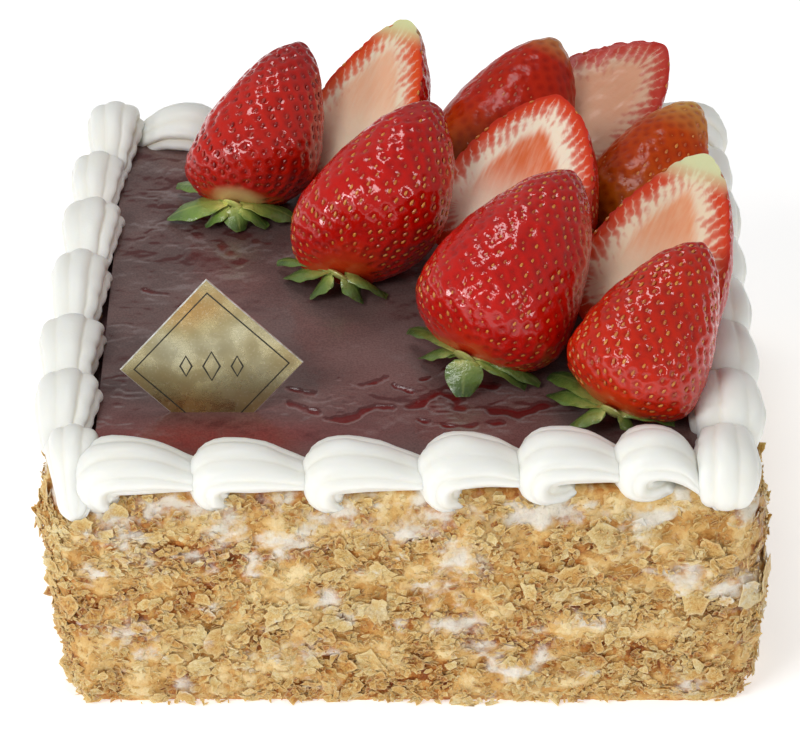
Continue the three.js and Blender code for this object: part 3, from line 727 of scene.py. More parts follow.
def chip_points(draw, size, form):
    """Torn and slightly curled plates, each with the points of its two sides in its own axes."""
    total = len(size)
    rim = torn_outline(draw, total, form)
    ways_out = np.arange(1, form["rings"] + 1) / form["rings"]
    plan = size[..., None] * np.concatenate([np.zeros((total, 1, 2)), *(rim * way for way in ways_out)], 1)
    x, y = plan[..., 0], plan[..., 1]
    bow = (draw.random((total, 1)) - 0.3) * form["curl"]
    twist = (draw.random((total, 1)) - 0.5) * form["curl"]
    z = (bow * x * x + twist * x * y) / size + 0.07 * size * (draw.random(x.shape) - 0.5)
    thick = form["thickness"] * (0.7 + 0.6 * draw.random((total, 1)))
    return np.concatenate([np.stack([x, y, z + half], -1) for half in (thick / 2, -thick / 2)], 1)


def chip_faces(corners, rings):
    """Triangles round the middle of a chip's two sides, and quads of the rings and the edge."""
    per_side = 1 + rings * corners
    ids = np.arange(corners)
    after = (ids + 1) % corners
    fan = np.stack([np.zeros(corners, int), 1 + ids, 1 + after], -1)
    band = np.stack([ids, ids + corners, after + corners, after], -1)
    bands = [1 + ring * corners + band for ring in range(rings - 1)]
    edge = 1 + (rings - 1) * corners
    wall = np.stack([edge + ids, edge + per_side + ids, edge + per_side + after, edge + after], -1)
    quads = np.concatenate([*bands, *(band[:, ::-1] + per_side for band in bands), wall])
    return np.concatenate([fan, fan[:, ::-1] + per_side]), quads


def shared(draw, values, stack, own):
    """The same value all through a stack, with a little of each chip's own."""
    return np.repeat(values, stack) + own * draw.standard_normal(len(values) * stack)


def chip_axes(draw, normal, form):
    """The axes of each chip, tipped about a random line and spun in its own plane."""
    stack = form["stack"]
    stacks = len(normal) // stack
    lean = shared(draw, np.clip(draw.standard_normal(stacks), -2.0, 2.0) * form["tip"], stack, 0.08)
    about = shared(draw, draw.random(stacks) * 2 * np.pi, stack, 0.08)
    flat = draw.random(stacks) < form["level"]
    turn = np.where(flat, 0.35 * draw.standard_normal(stacks), draw.random(stacks) * 2 * np.pi)
    spin = shared(draw, turn, stack, 0.15)
    side = np.cross(np.array([0.0, 0.0, 1.0]), normal)
    up = np.cross(normal, side)
    tipped = unit(side * np.cos(about)[:, None] + up * np.sin(about)[:, None])
    out = unit(normal * np.cos(lean)[:, None] + tipped * np.sin(lean)[:, None])
    along = side * np.cos(spin)[:, None] + up * np.sin(spin)[:, None]
    along = unit(along - (along * out).sum(-1, keepdims=True) * out)
    return np.stack([along, np.cross(out, along), out], 1)


def add_chips(parts, seed, count, form):
    """Torn pastry chips laid on the coat, singly or in stacks."""
    draw = np.random.default_rng(seed)
    stack = form["stack"]
    tries = 2 * count // stack
    run = draw.random(tries) * 4 * SIDE_RUN
    height = LOWEST_FLAKE + draw.random(tries) * FLAKE_SPAN
    mean, normal = coat_surface(run, height)
    bare = cream_patch(mean) + 0.6 * (draw.random(tries) - 0.5)
    keep = np.flatnonzero(bare < form["bare_limit"])[: count // stack]
    mean, normal = (np.repeat(v[keep], stack, 0) for v in (mean, normal))
    total = len(mean)
    small, large = form["sizes"]
    size = np.repeat(small * (large / small) ** (draw.random(len(keep)) ** 1.5), stack)[:, None]
    local = chip_points(draw, size, form)
    axes = chip_axes(draw, normal, form)
    rough = crags(mean - normal * COAT_INSET)
    low, high = form["lift"]
    stand = rough - COAT_INSET + low + (high - low) * draw.random(total) - SOAKED_SINK * soaked(mean)
    stand = stand + FOOT_SPREAD * draw.random(total) * smooth_step(3.0, 0.5, mean[:, 2])
    layer = (np.tile(np.arange(stack), len(keep)) - (stack - 1) / 2) * STACK_GAP
    slide = 0.25 * (stack > 1) * size * draw.standard_normal((total, 1))
    centre = mean + normal * stand[:, None] + axes[:, 2] * layer[:, None] + axes[:, 0] * slide
    points = inside_box(centre[:, None] + np.einsum("ijk,ikl->ijl", local, axes)).reshape(-1, 3)
    corners = form["breaks"] * form["steps"]
    per_chip = local.shape[1]
    faces = (repeated(kind, total, per_chip) for kind in chip_faces(corners, form["rings"]))
    way_out = np.repeat(np.arange(1, form["rings"] + 1) / form["rings"], corners)
    edge = np.tile(np.concatenate([np.zeros(1), way_out]), 2 * total)
    tone = np.repeat(draw.random(total), per_chip)
    # the crags' height under each chip, for its painted shade
    high = np.repeat(rough / COAT_ROUGH, per_chip)
    parts.add(points, *faces, tone=tone, edge=edge, cream=cream_patch(points), high=high)


def build_flakes():
    """One joined piece for each kind of flake, from chips of several sizes."""
    for kind, (shift, seed, shares) in FLAKE_KINDS.items():
        name = "flakes_" + kind
        parts = Parts()
        for number, (size, share) in enumerate(shares.items()):
            form = FLAKE_SIZES[size]
            add_chips(parts, seed + number, int(form["count"] * share), form)
        add_piece(name, parts, [flake_finish(name, shift)], ["body"], crease=40)


# ---- the glaze ----------------------------------------------------------------------------
GLAZE_CELLS = 300
STREAKS = (  # where red light comes through thin glaze and the painted grey reflection is left out: points across the top, a width and a strength
    (((-23, -43), (-15, -49), (-7, -45), (2, -43), (8, -38), (15, -45), (24, -46), (34, -43)), 1.4, 1.0),
    (((-13, -33), (-8, -35), (-3, -32)), 0.9, 0.9),
    (((-30, -40), (-24, -37), (-18, -38)), 0.8, 0.8),
    (((-1, -35), (3, -37)), 0.8, 0.9),
    (((5, -33), (11, -30)), 0.9, 0.9),
    (((4, -48), (12, -51), (20, -50)), 1.0, 0.8),
    (((-48, 26), (-44, 23), (-39, 19), (-37, 14)), 3.2, 0.55),
    (((-34, 22), (-30, 20), (-24, 14)), 2.0, 0.5),
    (((-56, 2), (-50, -1), (-46, -8)), 1.0, 0.6),
    (((8, -38), (14, -36), (20, -37)), 1.2, 0.9),
)
STREAK_WANDER = 1.1
SWELL = 0.16  # heights of the slow swells and the finer ripples
RIPPLE = 0.06
STREAK_DIP = 0.24  # how far the glaze dips along a streak, and in a crease
CREASE_DIP = 0.34
STEEP_RIPPLE = 0.11  # the slope of the steepest ripples
# painted reflection of the card: the spot in front of it where the glaze is redder
CARD_REFLECTION_SPOT = {"centre": (-38, -56), "size": (26, 7)}
# painted sheen: the greyer spot in the middle of the top
PAINTED_SHEEN_SPOT = {"centre": (-2, -20), "size": (30, 20)}
RIPPLE_SPOT = {"centre": (-50, 38), "size": (26, 34)}
CREASE_SPOTS = (  # where the skin of the glaze is finely creased
    {"centre": (8, -43), "size": (34, 8)},
    {"centre": (-52, 34), "size": (16, 26)},
    {"centre": (-60, -30), "size": (5, 24)},
)


def near_streak(points):
    """How close each point of the top is to a streak, from 0 to 1."""
    best = np.zeros(points.shape[:-1])
    wander = STREAK_WANDER * np.stack([layered(points, 5.0, 3, seed=seed) for seed in (61, 62)], -1)
    flat = points[..., :2] + wander
    for route, width, strength in STREAKS:
        for start, end in zip(np.array(route[:-1], float), np.array(route[1:], float)):
            way = end - start
            share = np.clip(((flat - start) @ way) / (way @ way), 0, 1)
            away = np.linalg.norm(flat - start - share[..., None] * way, axis=-1)
            best = np.maximum(best, strength * np.exp(-((away / width) ** 2)))
    return best


def spot_share(flat, spot):
    """1 in the middle of a spot of the top, falling away round it."""
    away = (flat[..., :2] - np.array(spot["centre"])) / np.array(spot["size"])
    return np.exp(-(away**2).sum(-1))


def build_glaze(finish):
    line = np.linspace(-GLAZE_HALF, GLAZE_HALF, GLAZE_CELLS + 1)
    y, x = np.meshgrid(line, line, indexing="ij")
    level = np.zeros_like(x)
    flat = np.stack([x, y, level], -1)
    streak = near_streak(flat) * (0.70 + 0.6 * noise(flat, 2.5, seed=64))
    lively = 1 + 0.9 * spot_share(flat, RIPPLE_SPOT)
    creases = sum(spot_share(flat, spot) for spot in CREASE_SPOTS)
    crease = np.abs(layered(flat * np.array([0.7, 1.4, 1]), 6.0, 3, seed=21))
    ripple = SWELL * layered(flat * np.array([1, 1.6, 1]), 18.0, 2, seed=17)
    ripple = (ripple + RIPPLE * layered(flat, 6.5, 4, seed=19)) * lively
    ripple = ripple - STREAK_DIP * smooth_step(0.15, 0.65, streak)
    ripple = ripple - CREASE_DIP * creases * np.clip(0.35 - crease, 0, 1)
    # facing steers a painted reflection in the glaze's colour
    facing = np.clip(np.gradient(ripple, line[1] - line[0], axis=0) / STEEP_RIPPLE, -1, 1)
    top = np.stack([x, y, GLAZE_TOP + ripple], -1)
    bottom = np.stack([x, y, level + BLOCK_TOP + 0.3], -1)
    # painted reflection of the card, with wider redder patches
    warm = spot_share(flat, CARD_REFLECTION_SPOT) + 0.4 * np.maximum(0, noise(flat, 24.0, seed=65))
    # painted sheen in the middle of the top
    haze = spot_share(flat, PAINTED_SHEEN_SPOT) * (0.8 + 0.8 * noise(flat, 12.0, seed=66))
    parts = Parts()
    parts.add(top, sheet_faces(GLAZE_CELLS + 1, GLAZE_CELLS + 1), streak=streak, warm=np.clip(warm, 0, 1),
              haze=np.clip(haze, 0, 1), facing=facing)
    edge = grid_edge(top)
    parts.add(np.concatenate([grid_edge(bottom), edge]), sheet_faces(2, len(edge), closed=True))
    corners = np.array([bottom[0, 0], bottom[0, -1], bottom[-1, -1], bottom[-1, 0]])
    parts.add(corners, [(3, 2, 1, 0)])
    add_piece("glaze_top", parts, [finish], ["glaze"], weld=WELD, crease=50)


# ---- strawberries -------------------------------------------------------------------------
BERRIES = {  # base is the middle of the leafy end, and shoulder is where along it a berry is widest
    "berry_whole_1": dict(base=(-37.2, 30.7, 60.2), heading=62, rise=38, roll=11, length=40.3, radius=14.4,
                          shoulder=0.24, skew=0.3),
    "berry_whole_2": dict(base=(-13.1, -0.3, 61.2), heading=48, rise=43, roll=21, length=42.3, radius=16.0,
                          shoulder=0.32, skew=0.61),
    "berry_whole_3": dict(base=(14.2, -35.4, 62.8), heading=55, rise=32, roll=10, length=47.3, radius=17.6,
                          shoulder=0.24),
    "berry_whole_4": dict(base=(44.7, -53.6, 61.3), heading=54, rise=36, roll=-8, length=40.5, radius=15.0,
                          shoulder=0.22),
    "berry_half_4": dict(base=(47.1, -28.7, 62.6), heading=58, rise=37, roll=2, length=45.0, radius=18.2,
                         shoulder=0.23, half=True),
    "berry_half_2": dict(base=(18.1, -1.6, 64.0), heading=62, rise=34, roll=9, length=43.1, radius=20.6,
                         shoulder=0.30, half=True),
    "berry_half_1": dict(base=(-16.8, 34.5, 61.1), heading=59, rise=37, roll=17, length=44.1, radius=17.1,
                         shoulder=0.31, half=True),
    "berry_back_2": dict(base=(46.8, 12.4, 54.6), heading=57, rise=34, roll=195, length=43.2, radius=15.3,
                         shoulder=0.30, half=True),
    "berry_back_1": dict(base=(15.2, 34.7, 53.9), heading=54, rise=41, roll=172, length=45.6, radius=16.6,
                         shoulder=0.29, half=True),
    "berry_half_3": dict(base=(28.1, 40.6, 63.6), heading=37, rise=23, roll=-18, length=44.0, radius=16.3,
                         shoulder=0.31, half=True),
}
WHOLE_GRID = (118, 172)  # rings along a berry, and columns round it
HALF_GRID = (104, 92)
CUT_COLUMNS = 64
SHOULDER_ROUNDNESS = 2.15
TIP_TAPER = 1.55
TIP_BLUNTNESS = 0.62
WHOLE_DEPTH = 0.95
HALF_DEPTH = 0.92
SEED_SPACING = 2.75
SEED_SIZE = (0.34, 0.76, 0.26)  # half width, half length and half thickness
DIMPLE = {"radius": 1.25, "depth": 0.50}
SEED_SINK = 0.34
SKIN_LUMPS = ((0.30, 9.0), (0.20, 2.6), (0.05, 1.0))  # height and size of the uneven skin's lumps
SKIN_PROUD = 0.12  # how far the skin stands out past the solid's
RED = (188, 22, 8)
BERRY_COLOURS = {  # root, middle and tip as a screen shows them, where root ends and tip starts, how wet
    "berry_whole_1": ((228, 190, 130), (192, 27, 11), (154, 11, 10), 0.022, 0.60, 1.0),
    "berry_whole_2": ((208, 56, 14), (194, 15, 3), (168, 10, 5), 0.06, 0.75, 1.0),
    "berry_whole_3": ((206, 44, 12), (194, 17, 4), (176, 14, 6), 0.05, 0.75, 1.0),
    "berry_whole_4": ((208, 60, 14), (196, 34, 3), (184, 24, 5), 0.06, 0.80, 1.0),
    "berry_half_1": ((200, 40, 16), RED, (196, 190, 120), 0.16, 0.88, 0.6),
    "berry_half_2": ((200, 40, 16), RED, (204, 70, 30), 0.16, 0.90, 0.6),
    "berry_half_3": ((200, 40, 16), RED, (170, 22, 12), 0.16, 0.90, 0.6),
    "berry_half_4": ((200, 40, 16), RED, (204, 198, 130), 0.16, 0.86, 0.6),
    "berry_back_1": ((138, 82, 18), (178, 34, 8), (196, 140, 80), 0.52, 0.86, 0.3),
    "berry_back_2": ((172, 98, 12), (186, 66, 6), (214, 168, 84), 0.52, 0.74, 0.3),
}
DIMPLE_SHARES = {"berry_back_1": 0.4, "berry_back_2": 0.5, "berry_whole_1": 1.1, "berry_whole_4": 1.15}
FLESH = {  # rim, pulp and core colours, how far in the core starts, its strength, tip colour and start
    "berry_half_1": ((218, 76, 22), (234, 218, 192), (232, 154, 110), 6.0, 0.65, (214, 214, 160), 0.83),
    "berry_half_2": ((214, 62, 16), (246, 230, 208), (224, 106, 52), 8.0, 0.98, (216, 80, 40), 0.98),
    "berry_half_3": ((186, 44, 20), (214, 174, 146), (214, 142, 104), 5.5, 0.60, (180, 30, 20), 0.95),
    "berry_half_4": ((210, 62, 20), (236, 216, 188), (230, 142, 92), 7.5, 0.85, (214, 216, 168), 0.80),
    "berry_back_1": ((208, 62, 28), (232, 204, 180), (226, 124, 82), 7.0, 0.8, (214, 190, 130), 0.92),
    "berry_back_2": ((208, 62, 28), (232, 204, 180), (226, 124, 82), 7.0, 0.8, (214, 190, 130), 0.90),
}
SEED_COLOURS = {  # dark and light
    "usual": ((178, 74, 20), (214, 134, 50)),
    "berry_whole_1": ((140, 14, 10), (176, 50, 28)),
    "berry_back_1": ((150, 50, 20), (190, 96, 40)),
}


def berry_profile(share, shoulder):
    """Radius, as a share of the largest, at a share of the way from the leafy end to the tip."""
    back = np.clip((shoulder - share) / shoulder, 0, 1)
    forward = np.clip((share - shoulder) / (1 - shoulder), 0, 1)
    blunt = np.maximum(1 - back**SHOULDER_ROUNDNESS, 0) ** (1 / SHOULDER_ROUNDNESS)
    taper = np.maximum(1 - forward**TIP_TAPER, 0) ** TIP_BLUNTNESS
    return np.where(share < shoulder, blunt, taper)


def berry_axes(berry):
    """The berry's width, length and face directions, as rows."""
    heading, rise, roll = (math.radians(berry[key]) for key in ("heading", "rise", "roll"))
    axis = np.array([math.cos(heading) * math.cos(rise), math.sin(heading) * math.cos(rise), math.sin(rise)])
    level = np.array([math.sin(heading), -math.cos(heading), 0.0])
    above = np.cross(level, axis)
    width = level * math.cos(roll) + above * math.sin(roll)
    return np.stack([width, axis, np.cross(width, axis)])


def berry_point(berry, share, angle):
    """Places on the smooth skin, in the berry's own axes."""
    radius = berry["radius"] * berry_profile(share, berry["shoulder"])
    depth = HALF_DEPTH if berry.get("half") else WHOLE_DEPTH
    x = radius * np.cos(angle)
    y = share * berry["length"] + berry.get("skew", 0) * x * (1 - share)
    return np.stack([x, y, radius * np.sin(angle) * depth], -1)


def berry_normal(berry, share, angle):
    step = 1e-3
    inner = np.clip(share, 0.004, 0.996)
    along = berry_point(berry, inner + step, angle) - berry_point(berry, inner - step, angle)
    around = berry_point(berry, inner, angle + step) - berry_point(berry, inner, angle - step)
    return unit(np.cross(along, around))


def seed_places(berry, seed):
    """Shares and angles of the seeds, in a spiral that spreads them evenly over the skin."""
    table = np.linspace(0, 1, 400)
    ring = berry_point(berry, table, np.zeros_like(table))
    step = np.linalg.norm(np.diff(ring, axis=0), axis=1)
    radius = berry["radius"] * berry_profile((table[1:] + table[:-1]) / 2, berry["shoulder"])
    area = np.concatenate([[0], np.cumsum(2 * np.pi * radius * step)])
    count = int(area[-1] / (0.92 * SEED_SPACING**2))
    draw = np.random.default_rng(seed)
    order = (np.arange(count) + 0.5) / count
    share = np.interp(order * area[-1], area, table)
    angle = np.arange(count) * math.pi * (3 - math.sqrt(5)) + 0.03 * draw.standard_normal(count)
    share = share + 0.003 * draw.standard_normal(count)
    fits = (share > 0.02) & (share < 0.99)
    return share[fits], np.mod(angle[fits], 2 * np.pi)


def nearest(points, targets):
    """Distance from each point to the nearest target."""
    tree = KDTree(len(targets))
    for index, target in enumerate(targets):
        tree.insert(target, index)
    tree.balance()
    return np.array([tree.find(point)[2] for point in points])


def skin(berry, share, angle, seeds, seed, dimple):
    """Dimpled places on the skin, in the berry's own axes, and how deep in a dimple each is."""
    smooth = berry_point(berry, share, angle)
    normal = berry_normal(berry, share, angle)
    away = nearest(smooth.reshape(-1, 3), seeds).reshape(share.shape)
    pit = np.clip(1 - (away / DIMPLE["radius"]) ** 2, 0, 1) ** 1.5
    lumps = sum(height * noise(smooth, size, seed + k) for k, (height, size) in enumerate(SKIN_LUMPS))
    ends = smooth_step(0, 0.04, share) * smooth_step(1, 0.985, share)
    shift = (lumps - dimple * pit) * ends + SKIN_PROUD
    return smooth + normal * shift[..., None], pit


def in_place(berry, local):
    """Points from the berry's own axes, where the berry lies on the cake."""
    return inside_box(np.array(berry["base"]) + local @ berry_axes(berry))


def add_pips(parts, berry, share, angle, index):
    """A small pip in each dimple, longer than wide, with a blunt and a sharp end."""
    rows = np.linspace(-1, 1, 5)
    girth = np.sqrt(np.maximum(0, 1 - rows**2)) * (1 - 0.22 * rows)
    pip = lathe(girth, rows, 6).reshape(-1, 3) * np.array(SEED_SIZE)
    if berry.get("half"):
        covered = np.sin(angle) < 0.03
        share, angle = share[covered], angle[covered]
    seeds = berry_point(berry, share, angle)
    normal = berry_normal(berry, share, angle)
    forward = berry_point(berry, np.clip(share + 0.01, 0, 1), angle) - seeds
    forward = unit(forward - (forward * normal).sum(-1, keepdims=True) * normal)
    axes = np.stack([np.cross(forward, normal), forward, normal], 1)
    placed = (seeds - normal * SEED_SINK)[:, None] + np.einsum("ki,sij->skj", pip, axes)
    tone = np.repeat(np.random.default_rng(500 + index).random(len(placed)), len(pip))
    faces = repeated(sheet_faces(5, 6, closed=True), len(placed), len(pip))
    parts.add(in_place(berry, placed.reshape(-1, 3)), faces, material=1, tone=tone)


def add_cut_face(parts, berry, local, share, index):
    """The flat cut side, between the two edges of the skin."""
    right, left = local[:, -1], local[:, 0]
    way = np.linspace(0, 1, CUT_COLUMNS + 1)
    face = right[:, None] * (1 - way)[None, :, None] + left[:, None] * way[None, :, None]
    edge = np.concatenate([left, right[::-1]])
    run = np.concatenate([[0], np.cumsum(np.linalg.norm(np.diff(edge, axis=0), axis=1))])
    flat = face.reshape(-1, 3)
    smooth_edge = berry_point(berry, share, np.zeros_like(share))
    smooth_edge = np.concatenate([smooth_edge * np.array([-1, 1, 1]), smooth_edge[::-1]])
    squares = (flat**2).sum(-1)[:, None] + (smooth_edge**2).sum(-1)[None]
    gap = np.sqrt(np.maximum(squares - 2 * flat @ smooth_edge.T, 0))
    rim_mm = gap.min(1)
    # the veins slant from the core out towards the tip
    arc_mm = run[gap.argmin(1)] + 100 * index - VEIN_SLANT * rim_mm * np.sign(flat[:, 0])
    relief = 0.10 * noise(face, 4.0, 80 + index) + 0.05 * noise(face, 1.2, 81 + index)
    inside = smooth_step(0, 1.2, rim_mm).reshape(relief.shape)
    dome = 0.25 * smooth_step(0, 6, rim_mm).reshape(relief.shape)
    face[..., 2] += (relief + dome) * inside
    shares = np.repeat(share[:, None], CUT_COLUMNS + 1, 1)
    parts.add(in_place(berry, face), sheet_faces(len(share), CUT_COLUMNS + 1), material=2, share=shares,
              rim_mm=rim_mm, arc_mm=arc_mm, across_mm=face[..., 0], along_mm=face[..., 1] + 100 * index)


def build_berry(name, berry, index):
    half = berry.get("half", False)
    rings, columns = HALF_GRID if half else WHOLE_GRID
    share = (1 - np.cos(np.linspace(0, np.pi, rings))) / 2
    turn = np.linspace(np.pi if half else 0, 2 * np.pi, columns + 1)
    shares, turns = np.meshgrid(share, turn, indexing="ij")
    seed_share, seed_angle = seed_places(berry, 400 + index)
    if half:
        near_cut = np.abs(np.sin(seed_angle)) < 0.06
        below = (seed_angle > np.pi) | near_cut
        seed_share, seed_angle = seed_share[below], seed_angle[below]
    seeds = berry_point(berry, seed_share, seed_angle)
    dimple = DIMPLE["depth"] * DIMPLE_SHARES.get(name, 1.0)
    local, pit = skin(berry, shares, turns, seeds, 40 + index, dimple)
    materials = [
        skin_finish(name + "_skin", *BERRY_COLOURS[name]),
        seed_finish(name + "_seeds", *SEED_COLOURS.get(name, SEED_COLOURS["usual"])),
    ]
    if half:
        local[:, [0, -1], 2] = 0.0  # both edges of the skin end on the cut
        materials.append(flesh_finish(name + "_flesh", *FLESH[name]))
    parts = Parts()
    parts.add(in_place(berry, local), sheet_faces(rings, columns + 1), share=shares, pit=pit)
    add_pips(parts, berry, seed_share, seed_angle, index)
    if half:
        add_cut_face(parts, berry, local, share, index)
    add_piece(name + "_fruit", parts, materials, [name], weld=WELD, crease=48)


# ---- leaves -------------------------------------------------------------------------------
LEAVES = {  # each leaf by its heading in degrees, its reach, its drop and its width
    "leaves_1": ((135, 19, 3.2, 4.0), (176, 15, 4.3, 7.5), (-160, 6.8, 4.4, 5.5), (-71, 4.6, 4.5, 6.5),
                 (-20, 8, 4.5, 5.5), (4, 13.3, 4.4, 7.0)),
    "leaves_2": ((140, 18, 4.2, 3.5), (148, 13.7, 5.3, 6.5), (-172, 6.3, 5.4, 6.5), (-30, 6.2, 5.4, 5.0),
                 (-5, 10.6, 5.4, 4.5)),
    "leaves_3": ((124, 21.5, 5.0, 4.5), (134, 13.4, 6.8, 4.5), (116, 11.2, 5.0, 6.0), (-95, 5.2, 6.8, 8.3),
                 (-8, 13, 6.9, 5.0), (-2, 16, 6.9, 4.0)),
    "leaves_4": ((121, 24, 4.8, 6.0), (132, 18.6, 5.2, 6.5), (176, 9.5, 5.1, 6.0), (-5, 5.5, 5.3, 5.5),
                 (10, 13.5, 5.0, 5.5)),
}
LEAF_STRENGTHS = (1.0, 0.72, 0.66, 0.60)
LEAF_THICKNESS = 0.55
LEAF_ROOT = 0.9  # below the berry's base
LEAF_ALONG = 16
LEAF_ACROSS = 8
CALYX = {"radius": 2.6, "half_height": 0.7, "drop": 1.1}
LEAF_BEND = {"at": 0.6, "rise": 0.12, "sag": 0.35}
LEAF_STALK = 0.16
LEAF_WAVE = 0.5
LEAF_FOLD = 0.8  # how far the edges droop below the spine


def add_leaf(parts, root, leaf, index):
    heading, reach, drop, width = leaf
    out = np.array([math.cos(math.radians(heading)), math.sin(math.radians(heading)), 0.0])
    across = np.array([-out[1], out[0], 0.0])
    down = np.array([0, 0, -1.0])
    tip = root + out * reach + down * drop
    bend = root + out * LEAF_BEND["at"] * reach - down * (LEAF_BEND["rise"] * reach - LEAF_BEND["sag"] * drop)
    start = root + out * 0.5 * CALYX["radius"]
    share = np.linspace(0, 1, LEAF_ALONG + 1)[:, None, None]
    side = np.linspace(-1, 1, LEAF_ACROSS + 1)[None, :, None]
    spine = start * (1 - share) ** 2 + bend * 2 * share * (1 - share) + tip * share**2
    along = unit((bend - start) * (1 - share) + (tip - bend) * share)
    up = unit(np.cross(along, across))
    swell = np.sin(np.pi * (0.12 + 0.81 * share)) ** 0.7
    half = width / 2 * np.maximum(LEAF_STALK, swell)
    wave = LEAF_WAVE * np.sin(5 * share + 2 * index) * side + 0.18 * np.sin(17 * share + index) * side**2
    fold = -LEAF_FOLD * np.abs(side) ** 1.6 * np.sin(np.pi * share)
    groove = -0.22 * np.exp(-((side / 0.12) ** 2)) * (1 - share)
    thin = LEAF_THICKNESS * (1 - 0.75 * np.abs(side) ** 3) * (1 - 0.5 * share)
    middle = spine + across * side * half + up * (wave + fold + groove)
    shares = np.broadcast_to(share, middle.shape[:2] + (1,))
    off_rib = np.broadcast_to(np.abs(side), middle.shape[:2] + (1,))
    faces = sheet_faces(LEAF_ALONG + 1, LEAF_ACROSS + 1)
    for sign in (1, -1):
        parts.add(middle + up * sign * thin / 2, faces[:, ::sign], share=shares, midrib=off_rib)
    loop = grid_edge(middle)
    lift = grid_edge(up * thin) / 2
    rim = sheet_faces(2, len(loop), closed=True)
    parts.add(np.concatenate([loop - lift, loop + lift]), rim, share=0.6, midrib=1.0)


def build_leaves():
    rows = np.linspace(0, np.pi, 8)
    height = -CALYX["half_height"] * np.cos(rows) - CALYX["drop"]
    disc = lathe(CALYX["radius"] * np.sin(rows), height, 20)
    for number, (name, leaves) in enumerate(LEAVES.items(), start=1):
        berry = BERRIES[f"berry_whole_{number}"]
        axes = berry_axes(berry)
        base = np.array(berry["base"])
        parts = Parts()
        for index, leaf in enumerate(leaves):
            add_leaf(parts, base - LEAF_ROOT * axes[1], leaf, index)
        parts.add(base + disc @ axes, sheet_faces(8, 20, closed=True), share=0.05, midrib=1.0)
        finish = leaf_finish(f"berry_leaf_{number}", LEAF_STRENGTHS[number - 1])
        add_piece(f"calyx_{number}", parts, [finish], [name], weld=WELD, crease=60)


# ---- the piped border ---------------------------------------------------------------------
STROKE = (  # turn round the hinge, run past it, reach out from it, half width across the row
    (300, 1, 5.8, 3.0),
    (236, 0, 6.6, 4.8),
    (180, 0, 9.6, 6.8),
    (118, 0, 10.7, 7.4),
    (90, 7, 9.2, 6.3),
    (90, 16, 5.2, 4.8),
)
STROKE_START_TURN = 325
STROKE_END_RUN = 22
RIDGES = 7
RIDGE_DEPTH = 0.095
SHALLOW_RIDGES = 51  # degrees round the section, where the ridges are faintest
SCALLOP = 5.2  # length of one of the small scallops on the inner side
HINGE_GAP = 0.5  # from the hinge line to a stroke's underside
LEAST_RADIAL = 0.06
BORDER_LINE = 68.4  # from the cake's middle out to the hinge lines
HINGE_LEVEL = 51.6
TAIL_PITCH = 24  # the pitch that the runs above are for
SHORTEST_PITCH = 13
FIRST_STROKE_SEED = 900
CREAM_AROUND = 98
CREAM_ALONG = 46
EVEN = (1,) * 7
NONE = (0,) * 7
ROWS = (  # shifts move a head outward; the last tail of a row falls over the edge and swings outward
    dict(name="left", travel=-90, stops=(-66.5, -46.8, -26, -3, 22.2, 44.2, 64),
         sizes=(1.04, 0.95, 0.97, 1, 0.98, 1, 0.95), widths=(0.8, 0.85, 0.92, 0.86, 0.95, 0.92, 0.8),
         lifts=(0.6, 0, 0, 0.2, 0, 0, 0), shifts=(-1.9, 1.0, 1.1, 2.3, 2.6, 2.3, -0.3),
         fall=6, swing=-1, ruffle=0.75),
    dict(name="front", travel=0, stops=(-57.5, -34.5, -10.7, 13.4, 33.6, 53.4),
         sizes=(1.02, 0.97, 1, 1.02, 1.03, 0.99), widths=EVEN,
         lifts=(0, 0, 0.2, 0.9, 2.2, 3.2), shifts=NONE, fall=10, swing=1.5, ruffle=0.15),
    dict(name="right", travel=90, stops=(-66.4, -48, -27.7, -7.2, 12.1, 31.5, 51),
         sizes=(1, 1.04, 1.02, 0.98, 0.96, 0.97, 0.95), widths=(0.92, *EVEN[1:]),
         lifts=(1, 1.8, 0.8, 0.5, 0.3, 0.3, 0), shifts=(-0.6, 0.5, 0.8, 0.9, 0.9, 0.8, 0.4),
         fall=6, swing=1.5, ruffle=0.5),
    dict(name="back", travel=180, stops=(-66, -43, -20, 3.5, 27.5, 50.5),
         sizes=(1, 0.97, 1, 0.98, 1, 1), widths=(1, 0.96, 1, 1, 0.97, 1),
         lifts=(0.3, 0, 0, 0.2, 0.2, 0.4), shifts=(0, 0, 0.4, 0, 0, 0), fall=6, swing=1.5, ruffle=0.5),
)


def smooth_between(knots, places):
    """A smooth curve through values at 0, 1, 2 and so on."""
    knots = np.asarray(knots, float)
    padded = np.concatenate([2 * knots[:1] - knots[1:2], knots, 2 * knots[-1:] - knots[-2:-1]])
    index = np.clip(np.floor(places).astype(int), 0, len(knots) - 2)
    t = (places - index)[:, None]
    a, b, c, d = (padded[index + k] for k in range(4))
    return 0.5 * (2 * b + (c - a) * t + (2 * a - 5 * b + 4 * c - d) * t**2 + (3 * b - a - 3 * c + d) * t**3)


def stroke_stations():
    """turn, run, reach, width and how open the section is, along the stroke."""
    first = (STROKE_START_TURN, *STROKE[0][1:])
    last = (STROKE[-1][0], STROKE_END_RUN, *STROKE[-1][2:])
    knots = np.array([first, *STROKE, last], float)
    ends = len(knots) - 1
    place = ends * (1 - np.cos(np.linspace(0, np.pi, CREAM_ALONG))) / 2
    place = 0.5 * place + 0.5 * np.linspace(0, ends, CREAM_ALONG)
    stations = smooth_between(knots, place)
    opening = np.sqrt(np.clip(1 - (1 - np.clip(place, 0, 1)) ** 2, 0, 1))
    opening *= np.sqrt(np.clip(1 - np.clip(place - ends + 1, 0, 1) ** 2, 0, 1))
    return stations, opening


